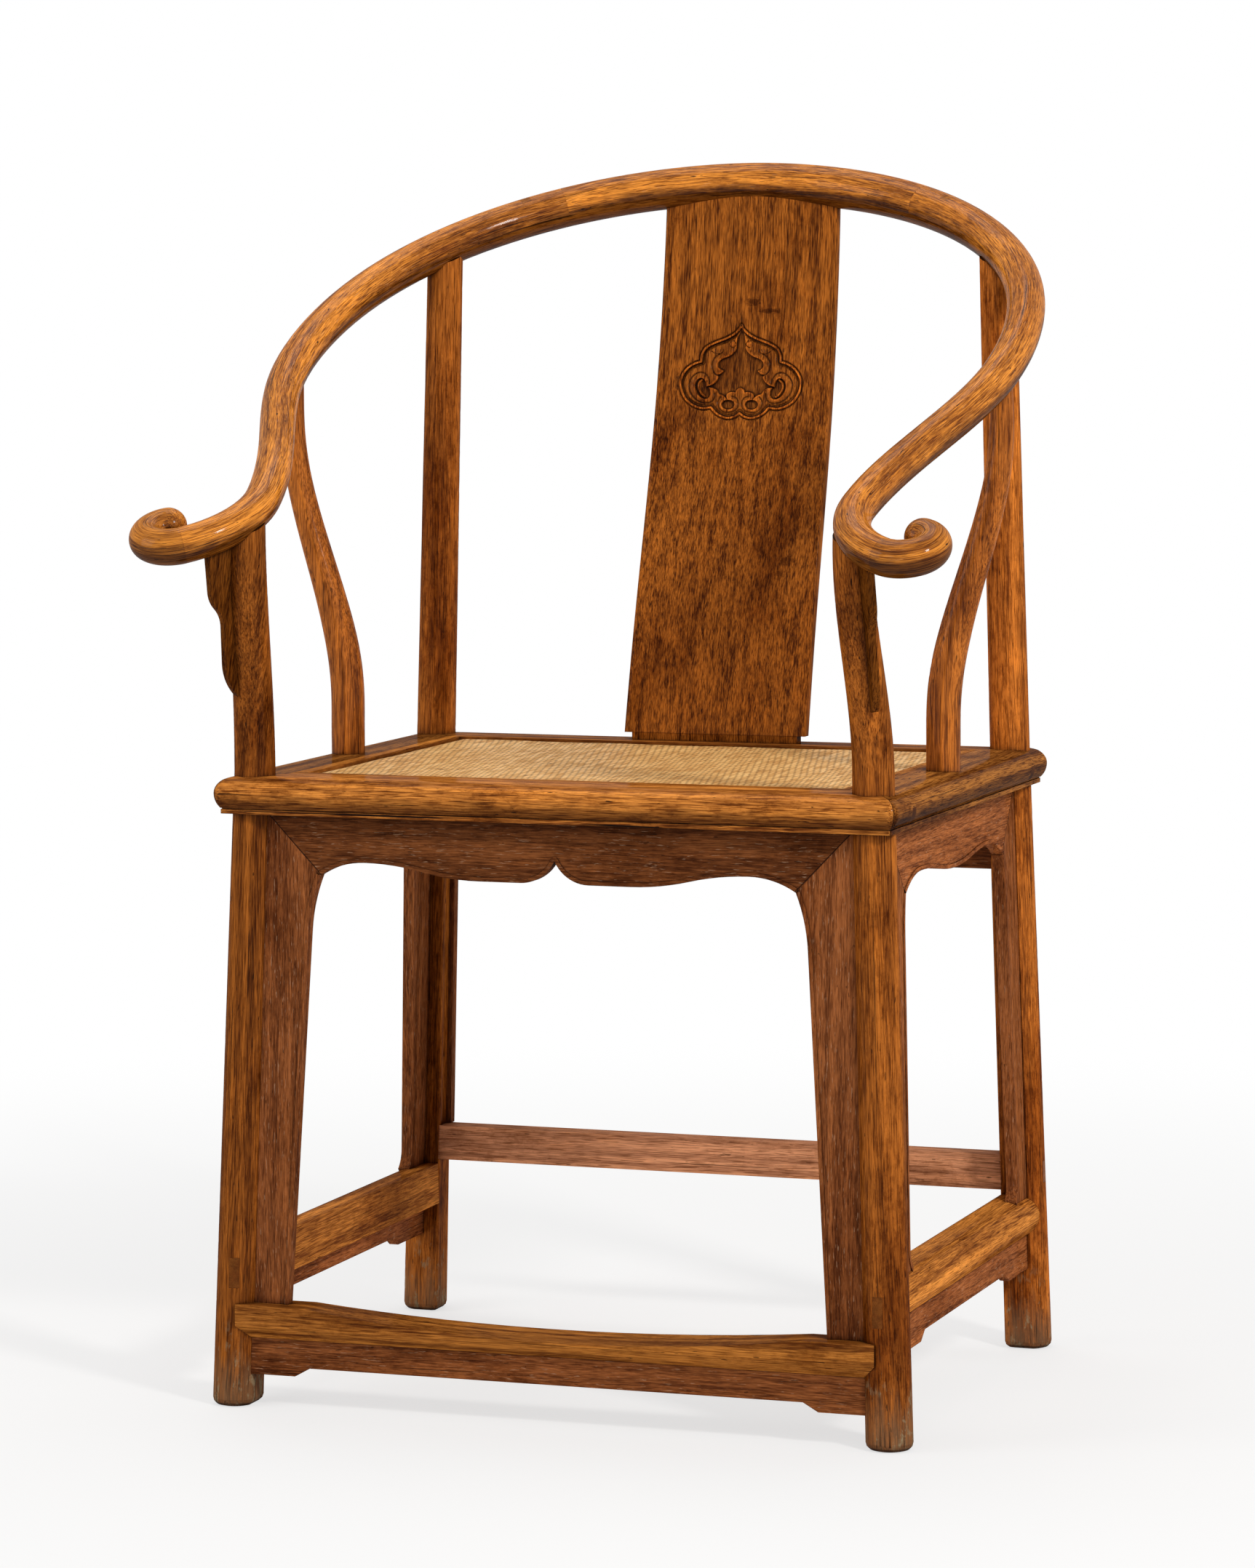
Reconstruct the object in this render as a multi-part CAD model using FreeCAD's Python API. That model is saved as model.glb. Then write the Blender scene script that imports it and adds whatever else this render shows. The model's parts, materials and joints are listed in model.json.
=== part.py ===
import FreeCAD, Part
import math
import os

os.makedirs("parts", exist_ok=True)

# A horseshoe back armchair in hardwood, put together with mortise and tenon joints.
# Lengths are millimetres and angles are degrees. The floor is at zero height, x runs across
# the chair, y runs from its front to its back and z runs up. The side pieces are worked out
# on the right, where x is above zero, and their left twins are mirrored from them.

# Clearances and the length by which a cutting body passes the surface that it cuts
joint_clearance = 0.15
end_clearance = 0.5
overrun = 6.0
groove_depth = 4.0

# Seat frame: outer size at the widest line of its rounded edge
seat_height = 500.0
seat_frame_width = 556.8
seat_frame_depth = 457.0
seat_frame_thickness = 29.0
seat_member_width = 58.0
seat_corner_radius = 8.0
seat_round_inset = 18.0
seat_round_drop = 13.0
seat_under_inset = 5.0
seat_groove_drop = 24.5
seat_groove_height = 1.0
seat_groove_depth = 1.5
seat_lip_inset = 5.5
seat_tenon_edge_gap = 1.5
seat_tenon_thickness = 10.0
seat_tenon_height = 11.0
seat_tenon_rise = 6.0

# Woven seat, laid in a rebate round the frame's opening
seat_rebate_width = 10.0
seat_rebate_depth = 11.0
seat_strip_thickness = 4.0
seat_mat_edge_thickness = 3.0
seat_mat_recess = 1.0
seat_mat_gap = 0.3

# Curved braces under the woven seat
brace_width = 22.0
brace_thickness = 16.0
brace_drop_below_webbing = 2.0
brace_dip = 12.0
brace_spacing = 150.0
brace_tenon_length = 14.0
brace_tenon_height = 10.0
brace_tenon_width = 16.0

# Legs: round outside, square inside, leaning out to the floor; insets are from the edge of
# the seat frame to the leg's centre at the seat's top
leg_seat_inset_x = 25.9
leg_seat_inset_y = 28.7
leg_splay_x = 16.8
leg_splay_y = 9.7
leg_radius_foot = 18.4
leg_radius_seat = 16.4
leg_flat_inset = 1.5
leg_corner_chamfer = 1.2
foot_round = 6.0

# Posts over the seat, the front and rear ones in one piece with their legs; where they meet
# the rail is measured along it from the end of its lap
front_post_radius_seat = 16.2
front_post_radius_rail = 14.5
front_post_foot_straight = 10.0
front_post_head_straight = 14.0
front_post_rail_length = 544.6
rear_post_radius_seat = 16.4
rear_post_radius_rail = 14.8
rear_post_rail_length = 48.1
side_post_inset = 26.1
side_post_forward = 3.0
side_post_rail_length = 283.0
side_post_radius_seat = 13.6
side_post_radius_rail = 8.5
side_post_foot_straight = 45.0
side_post_head_straight = 45.0
side_post_full_height = 90.0
side_post_foot_tenon_radius = 8.0
side_post_foot_tenon_length = 18.0
post_tenon_radius = 6.5
side_post_tenon_radius = 5.5
post_tenon_rise = 6.0
post_tenon_root = 22.0
post_cope_share = 0.35

# Crest rail: one plane sloping up to the back, arcs one after another from its middle
rail_slope = 25.96
rail_base_rise = 316.1
rail_back_reach = 340.95
rail_radius_middle = 17.6
rail_radius_arm = 14.2
rail_radius_end = 14.4
rail_taper_share = 0.7
back_arc_radius = 298.5
back_arc_turn = 76.4
arm_arc_radius = 357.2
arm_arc_turn = 34.5
sweep_arc_radius = 675.2
sweep_arc_turn = -10.8
elbow_arc_radius = 78.8
elbow_arc_turn = -70.0
scroll_arc_radius = 25.0
scroll_arc_turn = -65.8
curl_arc_radius = 16.5
curl_arc_turn = -124.0
section_turn = 12.0
rail_joint_turn = 44.5
rail_lap_length = 65.0
rail_pin_size = 8.0
hook_tenon_radius = 6.0
hook_tenon_length = 12.0

# Back splat: arcs of its side profile as shares of its length, with the turn of each
splat_thickness = 11.0
splat_width_seat = 158.8
splat_width_rail = 151.0
splat_seat_inset = 35.5
splat_rail_forward = 7.0
splat_arc_length_shares = (0.29, 0.165, 0.545)
splat_arc_turns = (3.8, 0.0, -12.8)
splat_shoulder_height = 6.0
splat_neck_width = 145.0
splat_tenon_thickness = 7.0
splat_tenon_depth = 15.0
splat_head_tenon_width = 112.0
splat_head_tenon_rise = 5.0
splat_head_tenon_root = 24.0

# Arm spandrels between the front posts and the rail
spandrel_turn = 32.7
spandrel_thickness = 6.0
spandrel_groove_depth = 5.0
spandrel_head_width = 26.0
spandrel_shoulder_width = 23.0
spandrel_waist_width = 11.8
spandrel_tip_width = 1.5
spandrel_height = 140.0
spandrel_height_shares = (0.18, 0.39, 0.59)

# Aprons under the seat and the boards that run down the legs
apron_thickness = 9.0
apron_bead_width = 3.2
apron_bead_height = 1.0
front_apron_face = 7.5
front_apron_cusp_drop = 30.0
front_apron_dip_drop = 47.7
front_apron_arch_drop = 36.5
front_apron_shares = (0.144, 0.319, 0.807)
front_mitre_reach = 45.6
front_mitre_drop = 47.4
front_flange_width_head = 37.0
front_flange_width_foot = 28.0
front_flange_curve_drop = 44.0
side_apron_face = 6.0
side_apron_dip_drop = 47.5
side_apron_arch_drop = 39.7
side_apron_arch_share = 0.694
side_mitre_reach = 42.4
side_mitre_drop = 53.0
side_flange_width_head = 38.0
side_flange_width_foot = 30.0
side_flange_curve_drop = 32.0
side_flange_flare = 7.0
side_flange_flare_height = 16.0
rear_apron_drop = 71.5
rear_apron_face = 8.5
rear_flange_width = 4.0

# Foot rail at the front, worn hollow along its top
foot_rail_top = 83.0
foot_rail_thickness = 27.0
foot_rail_forward = 20.1
foot_rail_depth = 30.0
foot_rail_end_inset = 4.5
foot_rail_band = 17.0
foot_rail_chamfer = 9.0
foot_rail_end_cut = 10.0
foot_rail_wear_front = 15.5
foot_rail_wear_back = 8.5
foot_rail_wear_inset = 57.0
foot_rail_tenon_length = 15.0
foot_rail_tenon_height = 14.0
foot_rail_tenon_thickness = 10.0
foot_apron_face = 9.4
foot_apron_thickness = 10.0
foot_apron_drop = 22.5
foot_apron_end_drop = 29.5
foot_apron_end_length = 48.0
foot_apron_end_flat_length = 35.6

# Stretchers
side_stretcher_top = 130.0
side_stretcher_thickness = 35.0
side_stretcher_outer = 15.0
side_stretcher_flat_outer = 2.0
side_stretcher_tenon_width = 8.5
side_stretcher_tenon_height = 24.0
side_stretcher_tenon_shift = 2.0
side_stretcher_tenon_lower = 5.0
side_stretcher_apron_face = 5.0
side_stretcher_apron_thickness = 8.0
side_stretcher_apron_drop = 19.0
side_stretcher_apron_end_drop = 26.5
side_stretcher_apron_end_length = 70.7
side_stretcher_apron_end_flat_length = 58.7
rear_stretcher_top = 163.0
rear_stretcher_height = 29.4
rear_stretcher_thickness = 20.0
rear_stretcher_tenon_height = 18.0
rear_stretcher_tenon_thickness = 8.0

half_width = seat_frame_width / 2
half_depth = seat_frame_depth / 2
frame_bottom = seat_height - seat_frame_thickness
side_post_x = half_width - side_post_inset
splat_seat_y = half_depth - splat_seat_inset
rail_base_height = seat_height + rail_base_rise

rail_arcs = (
    (back_arc_radius, back_arc_turn),
    (arm_arc_radius, arm_arc_turn),
    (sweep_arc_radius, sweep_arc_turn),
    (elbow_arc_radius, elbow_arc_turn),
    (scroll_arc_radius, scroll_arc_turn),
    (curl_arc_radius, curl_arc_turn),
)

up = FreeCAD.Vector(0, 0, 1)


def point(across, along, height):
    """A point of the chair, or a direction."""
    return FreeCAD.Vector(across, along, height)


def block(low_x, high_x, low_y, high_y, low_z, high_z):
    """A box between two values on each axis."""
    return Part.makeBox(high_x - low_x, high_y - low_y, high_z - low_z, point(low_x, low_y, low_z))


def post_section(centre, radius):
    """A level circle as a wire."""
    return Part.Wire(Part.makeCircle(radius, centre, up))


def mirrored_across(shape):
    """The twin of a shape on the other side of the chair."""
    return shape.mirror(point(0, 0, 0), point(1, 0, 0))


def mirrored_along(shape):
    """The twin of a shape at the other end of the chair."""
    return shape.mirror(point(0, 0, 0), point(0, 1, 0))


def one_solid(shape):
    """The single solid that a cut or a joining leaves."""
    solids = shape.Solids
    if len(solids) != 1:
        raise ValueError("expected one solid, found %d" % len(solids))
    return solids[0]


def share_between(low, high, share):
    """A value part of the way from low to high."""
    return low + (high - low) * share


def smooth_share(value, low, high):
    """How far value is from low to high, leaving and arriving gently."""
    share = min(max((value - low) / (high - low), 0.0), 1.0)
    return share * share * (3 - 2 * share)


def straight(place, start, end):
    """A straight edge between two points of an outline."""
    return Part.makeLine(place(*start), place(*end))


def tangent_arc(place, start, heading, end):
    """An arc of an outline that leaves start along heading and runs to end."""
    run = end[0] - start[0]
    rise = end[1] - start[1]
    bend = math.atan2(heading[0] * rise - heading[1] * run, heading[0] * run + heading[1] * rise)
    bulge = math.tan(bend / 2) / 2
    middle = (start[0] + run / 2 + rise * bulge, start[1] + rise / 2 - run * bulge)
    return Part.Arc(place(*start), place(*middle), place(*end)).toShape()


def double_curve(place, start, heading, end):
    """Two arcs in an S that leave start and reach end along the same heading."""
    middle = ((start[0] + end[0]) / 2, (start[1] + end[1]) / 2)
    back = (-heading[0], -heading[1])
    return [tangent_arc(place, start, heading, middle), tangent_arc(place, end, back, middle)]


def chain(place, points):
    """Straight edges through a row of outline points."""
    return [straight(place, first, second) for first, second in zip(points, points[1:])]


def outline_face(edges):
    """The flat face inside a closed outline."""
    return Part.Face(Part.Wire(Part.__sortEdges__(edges)))


def board(edges, push):
    """The solid of a closed outline pushed along a vector."""
    return outline_face(edges).extrude(push)


def beaded_board(edges, shaped_edges, push):
    """A board with a thin raised bead on its face along the shaped edges of its outline."""
    face = outline_face(edges)
    wire = Part.Wire(Part.__sortEdges__(shaped_edges))
    strips = [wire.makeOffset2D(way * apron_bead_width, 0, True, True) for way in (1, -1)]
    strip = max((side.common(face) for side in strips), key=lambda shape: shape.Area)
    bead = strip.extrude(push.normalize() * -apron_bead_height)
    return one_solid(face.extrude(push * apron_thickness).fuse(bead).removeSplitter())


# Crest rail path


def rail_arc_length(index):
    """Length of one arc of the rail."""
    radius, turn = rail_arcs[index]
    return radius * math.radians(abs(turn))


def rail_length_to(count):
    """Length of the first arcs of the rail, from its middle."""
    return sum(rail_arc_length(index) for index in range(count))


rail_length = rail_length_to(len(rail_arcs))
rail_joint_end = back_arc_radius * math.radians(rail_joint_turn)
rail_joint_start = rail_joint_end - rail_lap_length
rail_hook_start = rail_length_to(4)


def rail_state(station):
    """Place across and along the rail's plane, and heading, at a distance from the middle."""
    across = 0.0
    along = rail_back_reach
    heading = 0.0
    left = abs(station)
    for radius, turn in rail_arcs:
        length = radius * math.radians(abs(turn))
        angle = math.copysign(min(left, length) / radius, turn)
        side = math.copysign(radius, turn)
        across += side * (math.sin(heading) - math.sin(heading - angle))
        along += side * (math.cos(heading - angle) - math.cos(heading))
        heading -= angle
        left -= min(left, length)
    if station < 0:
        across = -across
        heading = -heading
    return across, along, heading


rail_normal = point(0, -math.sin(math.radians(rail_slope)), math.cos(math.radians(rail_slope)))


def rail_plane_point(across, along):
    """A point of the rail's plane in the chair's own directions."""
    slope = math.radians(rail_slope)
    return point(across, along * math.cos(slope), rail_base_height + along * math.sin(slope))


def rail_point(station):
    """Centre of the rail at a distance from its middle."""
    across, along, heading = rail_state(station)
    return rail_plane_point(across, along)


def rail_direction(station):
    """Direction of the rail at a distance from its middle."""
    heading = rail_state(station)[2]
    slope = math.radians(rail_slope)
    rise = math.sin(heading)
    return point(math.cos(heading), rise * math.cos(slope), rise * math.sin(slope))


def rail_radius(station):
    """Radius of the rail, thickest at the back."""
    share = abs(station) / rail_length
    if share < rail_taper_share:
        return share_between(rail_radius_middle, rail_radius_arm, share / rail_taper_share)
    rest = (share - rail_taper_share) / (1 - rail_taper_share)
    return share_between(rail_radius_arm, rail_radius_end, rest)


def rail_section(station):
    """The rail's round section at a distance from its middle."""
    direction = rail_direction(station)
    circle = Part.makeCircle(rail_radius(station))
    turn = FreeCAD.Rotation(rail_normal, direction.cross(rail_normal), direction, "ZXY")
    circle.Placement = FreeCAD.Placement(rail_point(station), turn)
    return Part.Wire(circle)


def rail_stations(start, end):
    """Places of the sections from start to end, closer where the rail bends more sharply."""
    marks = [0.0]
    for index, (radius, turn) in enumerate(rail_arcs):
        pieces = max(2, math.ceil(abs(turn) / section_turn))
        base = rail_length_to(index)
        marks += [base + rail_arc_length(index) * (step + 1) / pieces for step in range(pieces)]
    marks = sorted(set(marks + [-mark for mark in marks]))
    spacing = math.radians(section_turn) * curl_arc_radius / 2
    inner = [mark for mark in marks if start + spacing < mark < end - spacing]
    return [start] + inner + [end]


def rail_tube(start, end):
    """The round rail between two distances from its middle."""
    sections = [rail_section(station) for station in rail_stations(start, end)]
    return Part.makeLoft(sections, True, False)


def rail_prism(start, end, side):
    """A block over or under the rail's plane between two stations of the right half."""
    reach = rail_radius_middle * 3
    corners = []
    for station, hand in ((start, 1), (start, -1), (end, -1), (end, 1)):
        sideways = rail_direction(station).cross(rail_normal)
        corners.append(rail_point(station) + sideways * (reach * hand))
    wire = Part.makePolygon(corners + [corners[0]])
    return Part.Face(wire).extrude(rail_normal * (reach * side))


def above_rail(centre, drop):
    """A block over a plane that is parallel to the rail's plane and a drop under a point."""
    size = rail_back_reach
    cube = Part.makeBox(2 * size, 2 * size, size, point(-size, -size, 0))
    turn = FreeCAD.Rotation(point(1, 0, 0), rail_slope)
    cube.Placement = FreeCAD.Placement(centre - rail_normal * drop, turn)
    return cube


front_post_station = rail_joint_end + front_post_rail_length
rear_post_station = rail_joint_end + rear_post_rail_length
side_post_station = rail_joint_end + side_post_rail_length


def rail_pin_block():
    """The square peg through the lap, longer than the rail is thick."""
    station = (rail_joint_start + rail_joint_end) / 2
    half = rail_pin_size / 2
    length = rail_radius_middle * 3
    peg = Part.makeBox(rail_pin_size, rail_pin_size, length, point(-half, -half, -length / 2))
    direction = rail_direction(station)
    turn = FreeCAD.Rotation(direction, rail_normal.cross(direction), rail_normal, "ZXY")
    peg.Placement = FreeCAD.Placement(rail_point(station), turn)
    return peg


def hook_tenon(clearance, past_end):
    """The round tenon between an arm and its hook."""
    direction = rail_direction(rail_hook_start)
    start = rail_point(rail_hook_start) - direction * hook_tenon_length
    length = 2 * hook_tenon_length + past_end
    return Part.makeCylinder(hook_tenon_radius + clearance, length, start, direction)


def post_head_tenon(station, radius, clearance, past_end):
    """The upright tenon of a post that ends inside the rail."""
    head = rail_point(station)
    height = post_tenon_root + post_tenon_rise + past_end
    return Part.makeCylinder(radius + clearance, height, head - up * post_tenon_root, up)


# Legs and posts


def leg_axis(height):
    """Centre of the right rear leg at a height under the seat's top."""
    lean = 1 - height / seat_height
    across = half_width - leg_seat_inset_x + leg_splay_x * lean
    along = half_depth - leg_seat_inset_y + leg_splay_y * lean
    return point(across, along, height)


def leg_radius(height):
    """Radius of a leg's round side at a height."""
    return share_between(leg_radius_foot, leg_radius_seat, height / seat_height)


def leg_inner_x(height):
    """Distance from the middle of the chair to a leg's inner flat."""
    return leg_axis(height).x - leg_radius(height) + leg_flat_inset


def leg_inner_y(height):
    """Distance from the middle of the chair to a leg's flat that faces the other end."""
    return leg_axis(height).y - leg_radius(height) + leg_flat_inset


def leg_section(height, shrink):
    """Section of the right rear leg: an arc outside and a square corner inside."""
    centre = leg_axis(height)
    radius = leg_radius(height) - shrink
    flat = radius - leg_flat_inset
    meet = math.sqrt(radius * radius - flat * flat)
    outer = radius * math.sqrt(0.5)

    def place(inward, forward):
        return point(centre.x - inward, centre.y - forward, height)

    corner = flat - leg_corner_chamfer
    edges = chain(place, [(-meet, flat), (corner, flat), (flat, corner), (flat, -meet)])
    arc = Part.Arc(place(flat, -meet), place(-outer, -outer), place(-meet, flat)).toShape()
    return Part.Wire(Part.__sortEdges__(edges + [arc]))


def leg_body():
    """The right rear leg from the floor to the seat frame, its foot rounded under."""
    sections = []
    for angle in (0, 30, 60):
        rounding = math.radians(angle)
        shrink = foot_round * (1 - math.sin(rounding))
        sections.append(leg_section(foot_round * (1 - math.cos(rounding)), shrink))
    sections.append(leg_section(foot_round, 0))
    sections.append(leg_section(frame_bottom, 0))
    return Part.makeLoft(sections, True, True)


def leg_neck(radius, clearance, past_end):
    """The round length of a leg inside the seat frame."""
    low = leg_axis(frame_bottom - past_end)
    high = leg_axis(seat_height + past_end)
    sections = [post_section(low, radius + clearance), post_section(high, radius + clearance)]
    return Part.makeLoft(sections, True, True)


def post_axis(foot, head, bend_start, bend_end, height):
    """Centre of a post at a height, swinging from its foot to its head between two heights."""
    share = smooth_share(height, bend_start, bend_end)
    return point(share_between(foot.x, head.x, share), share_between(foot.y, head.y, share), height)


def front_post_axis(height):
    """Centre of the right front post, which sweeps forward under the arm."""
    foot = leg_axis(seat_height)
    foot.y = -foot.y
    head = rail_point(front_post_station)
    bend_end = head.z - front_post_head_straight
    return post_axis(foot, head, seat_height + front_post_foot_straight, bend_end, height)


def side_post_axis(height):
    """Centre of the right side post, which leans out to the arm."""
    foot = point(side_post_x, -side_post_forward, seat_height)
    head = rail_point(side_post_station)
    bend_end = head.z - side_post_head_straight
    return post_axis(foot, head, seat_height + side_post_foot_straight, bend_end, height)


def coped_to_rail(body, station, arm_tube):
    """A post whose head is cut to the round of the rail that it carries."""
    head = rail_point(station)
    body = body.cut(above_rail(head, rail_radius(station) * post_cope_share))
    return one_solid(body.cut(arm_tube))


def swept_post(axis, radius_at, low, high, steps):
    """A curved round post through level sections."""
    heights = [share_between(low, high, step / steps) for step in range(steps + 1)]
    sections = [post_section(axis(height), radius_at(height)) for height in heights]
    return Part.makeLoft(sections, True, False)


def front_leg(arm_tube):
    """The right front leg and its post in one piece."""
    head = rail_point(front_post_station)

    def radius_at(height):
        share = (height - seat_height) / (head.z - seat_height)
        return share_between(front_post_radius_seat, front_post_radius_rail, share)

    post = swept_post(front_post_axis, radius_at, seat_height, head.z, 10)
    post = coped_to_rail(post, front_post_station, arm_tube)
    post = post.fuse(post_head_tenon(front_post_station, post_tenon_radius, 0, 0))
    lower = mirrored_along(leg_body().fuse(leg_neck(front_post_radius_seat, 0, 0)))
    return one_solid(post.fuse(lower).removeSplitter())


def rear_leg(arm_tube):
    """The right rear leg and its straight post in one piece."""
    head = rail_point(rear_post_station)
    low = post_section(leg_axis(seat_height), rear_post_radius_seat)
    high = post_section(head, rear_post_radius_rail)
    post = Part.makeLoft([low, high], True, True)
    post = coped_to_rail(post, rear_post_station, arm_tube)
    post = post.fuse(post_head_tenon(rear_post_station, post_tenon_radius, 0, 0))
    lower = leg_body().fuse(leg_neck(rear_post_radius_seat, 0, 0))
    return one_solid(post.fuse(lower).removeSplitter())


def side_post_foot_tenon(clearance, past_end):
    """The round tenon of the side post in the seat frame."""
    length = side_post_foot_tenon_length + past_end
    base = point(side_post_x, -side_post_forward, seat_height - length)
    return Part.makeCylinder(side_post_foot_tenon_radius + clearance, length + overrun, base, up)


def side_post(arm_tube, frame_member):
    """The right side post, slimmer where it leans out to the arm."""
    head = rail_point(side_post_station)
    full_to = seat_height + side_post_full_height

    def radius_at(height):
        share = max(0.0, (height - full_to) / (head.z - full_to))
        return share_between(side_post_radius_seat, side_post_radius_rail, share)

    low = seat_height - seat_round_drop / 2
    post = swept_post(side_post_axis, radius_at, low, head.z, 12)
    post = coped_to_rail(post, side_post_station, arm_tube).cut(frame_member)
    post = post.fuse(side_post_foot_tenon(0, 0))
    head_tenon = post_head_tenon(side_post_station, side_post_tenon_radius, 0, 0)
    return one_solid(post.fuse(head_tenon).removeSplitter())


def spandrel(rail_tubes):
    """The right spandrel: a thin shaped board let into the front post under the arm."""
    head = rail_point(front_post_station)
    tip_height = head.z - spandrel_height
    tip = front_post_axis(tip_height)
    angle = math.radians(spandrel_turn)
    outward = point(math.sin(angle), -math.cos(angle), 0)
    low, middle, high = [tip_height + spandrel_height * share for share in spandrel_height_shares]
    inner = front_post_radius_rail - spandrel_groove_depth

    def place(out, height):
        share = (height - tip_height) / spandrel_height
        return tip + (head - tip) * share + outward * out

    def reach(width):
        return front_post_radius_rail + width

    waist_top = (reach(spandrel_waist_width), middle)
    waist_foot = (reach(spandrel_waist_width), low)
    shoulder = (reach(spandrel_shoulder_width), high)
    tip_out = (reach(spandrel_tip_width), tip_height)
    top_out = (reach(spandrel_head_width), head.z)
    edges = chain(place, [shoulder, top_out, (inner, head.z), (inner, tip_height), tip_out])
    edges += double_curve(place, shoulder, (0, -1), waist_top)
    edges.append(straight(place, waist_top, waist_foot))
    edges.append(tangent_arc(place, waist_foot, (0, -1), tip_out))
    push = outward.cross(head - tip).normalize() * spandrel_thickness
    body = board(edges, push)
    body.translate(push * -0.5)
    body = body.cut(above_rail(head, rail_radius(front_post_station) * post_cope_share))
    for tube in rail_tubes:
        body = body.cut(tube)
    return max(body.Solids, key=lambda solid: solid.Volume)


# Back splat


def splat_state(share, foot, head):
    """Place and direction of the splat's centre line at a share of its length."""
    marks = []
    along = 0.0
    height = 0.0
    lean = 0.0
    left = share
    for length, turn in zip(splat_arc_length_shares, splat_arc_turns):
        marks.append((along, height, lean))
        step = length
        bend = math.radians(turn)
        half = bend / 2
        chord = step if half == 0 else step * math.sin(half) / half
        along += chord * math.sin(lean + half)
        height += chord * math.cos(lean + half)
        lean += bend
    total = math.hypot(along, height)
    tilt = math.atan2(head.y - foot.y, head.z - foot.z) - math.atan2(along, height)
    scale = math.hypot(head.y - foot.y, head.z - foot.z) / total
    for (along, height, lean), length, turn in zip(marks, splat_arc_length_shares, splat_arc_turns):
        step = min(left, length)
        bend = math.radians(turn) * step / length
        half = bend / 2
        chord = step if half == 0 else step * math.sin(half) / half
        along += chord * math.sin(lean + half)
        height += chord * math.cos(lean + half)
        lean += bend
        left -= step
        if left <= 0:
            break
    turned_along = along * math.cos(tilt) + height * math.sin(tilt)
    turned_height = height * math.cos(tilt) - along * math.sin(tilt)
    place = (foot.y + turned_along * scale, foot.z + turned_height * scale)
    return place, (math.sin(lean + tilt), math.cos(lean + tilt))


splat_foot = point(0, splat_seat_y, seat_height)
splat_head = rail_point(0) - point(0, splat_rail_forward, 0)


def splat_side(offset, width):
    """Edges of the splat's side profile, offset to the back, on the plane at half the width."""

    def place(along, height):
        return point(-width / 2, along, height)

    def offset_at(share):
        (along, height), (lean_y, lean_z) = splat_state(share, splat_foot, splat_head)
        return along + lean_z * offset, height - lean_y * offset

    first = splat_arc_length_shares[0]
    second = first + splat_arc_length_shares[1]
    edges = []
    for low, high in ((0, first), (second, 1)):
        points = [place(*offset_at(share)) for share in (low, (low + high) / 2, high)]
        edges.append(Part.Arc(*points).toShape())
    edges.append(straight(place, offset_at(first), offset_at(second)))
    (lean_y, lean_z) = splat_state(0, splat_foot, splat_head)[1]
    start = offset_at(0)
    lower = (start[0] - lean_y * overrun, start[1] - lean_z * overrun)
    edges.append(straight(place, lower, start))
    return edges, place(*lower), place(*offset_at(1))


def splat_slab(thickness, width):
    """The curved board of the splat, of one width."""
    front, front_low, front_high = splat_side(-thickness / 2, width)
    back, back_low, back_high = splat_side(thickness / 2, width)
    ends = [Part.makeLine(front_low, back_low), Part.makeLine(front_high, back_high)]
    return board(front + back + ends, point(width, 0, 0))


def splat_foot_tenon(clearance, past_end):
    """The tenon of the splat in the rear seat member."""
    half = splat_neck_width / 2 + clearance
    thin = splat_tenon_thickness / 2 + clearance
    low = seat_height - splat_tenon_depth - past_end
    high = seat_height + splat_shoulder_height / 2
    return block(-half, half, splat_seat_y - thin, splat_seat_y + thin, low, high)


def splat_head_tenon(clearance, past_end):
    """The tenon of the splat in the crest rail."""
    half = splat_head_tenon_width / 2 + clearance
    thin = splat_tenon_thickness / 2 + clearance
    lean = splat_state(1, splat_foot, splat_head)[1]
    rise = splat_head_tenon_rise + past_end
    slab = block(-half, half, -thin, thin, -splat_head_tenon_root, rise)
    turn = FreeCAD.Rotation(point(1, 0, 0), -math.degrees(math.atan2(lean[0], lean[1])))
    slab.Placement = FreeCAD.Placement(splat_head, turn)
    return slab


def back_splat(centre_tube):
    """The splat, narrower to its head and notched above the seat."""
    slab = splat_slab(splat_thickness, splat_width_seat)
    front = splat_seat_y - splat_thickness * 2

    def place(across, height):
        return point(across, front, height)

    low = splat_width_seat / 2
    high = splat_width_rail / 2
    neck = splat_neck_width / 2
    shoulder = seat_height + splat_shoulder_height
    right = [(neck, seat_height), (neck, shoulder), (low, shoulder), (high, splat_head.z)]
    left = [(-across, height) for across, height in reversed(right)]
    outline = board(chain(place, right + left + [right[0]]), point(0, 2 * rail_back_reach, 0))
    body = slab.common(outline)
    body = body.cut(above_rail(splat_head, 0)).cut(centre_tube)
    body = max(body.Solids, key=lambda solid: solid.Volume)
    body = body.fuse(splat_foot_tenon(0, 0)).fuse(splat_head_tenon(0, 0))
    return one_solid(body.removeSplitter())


# Seat frame


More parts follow.
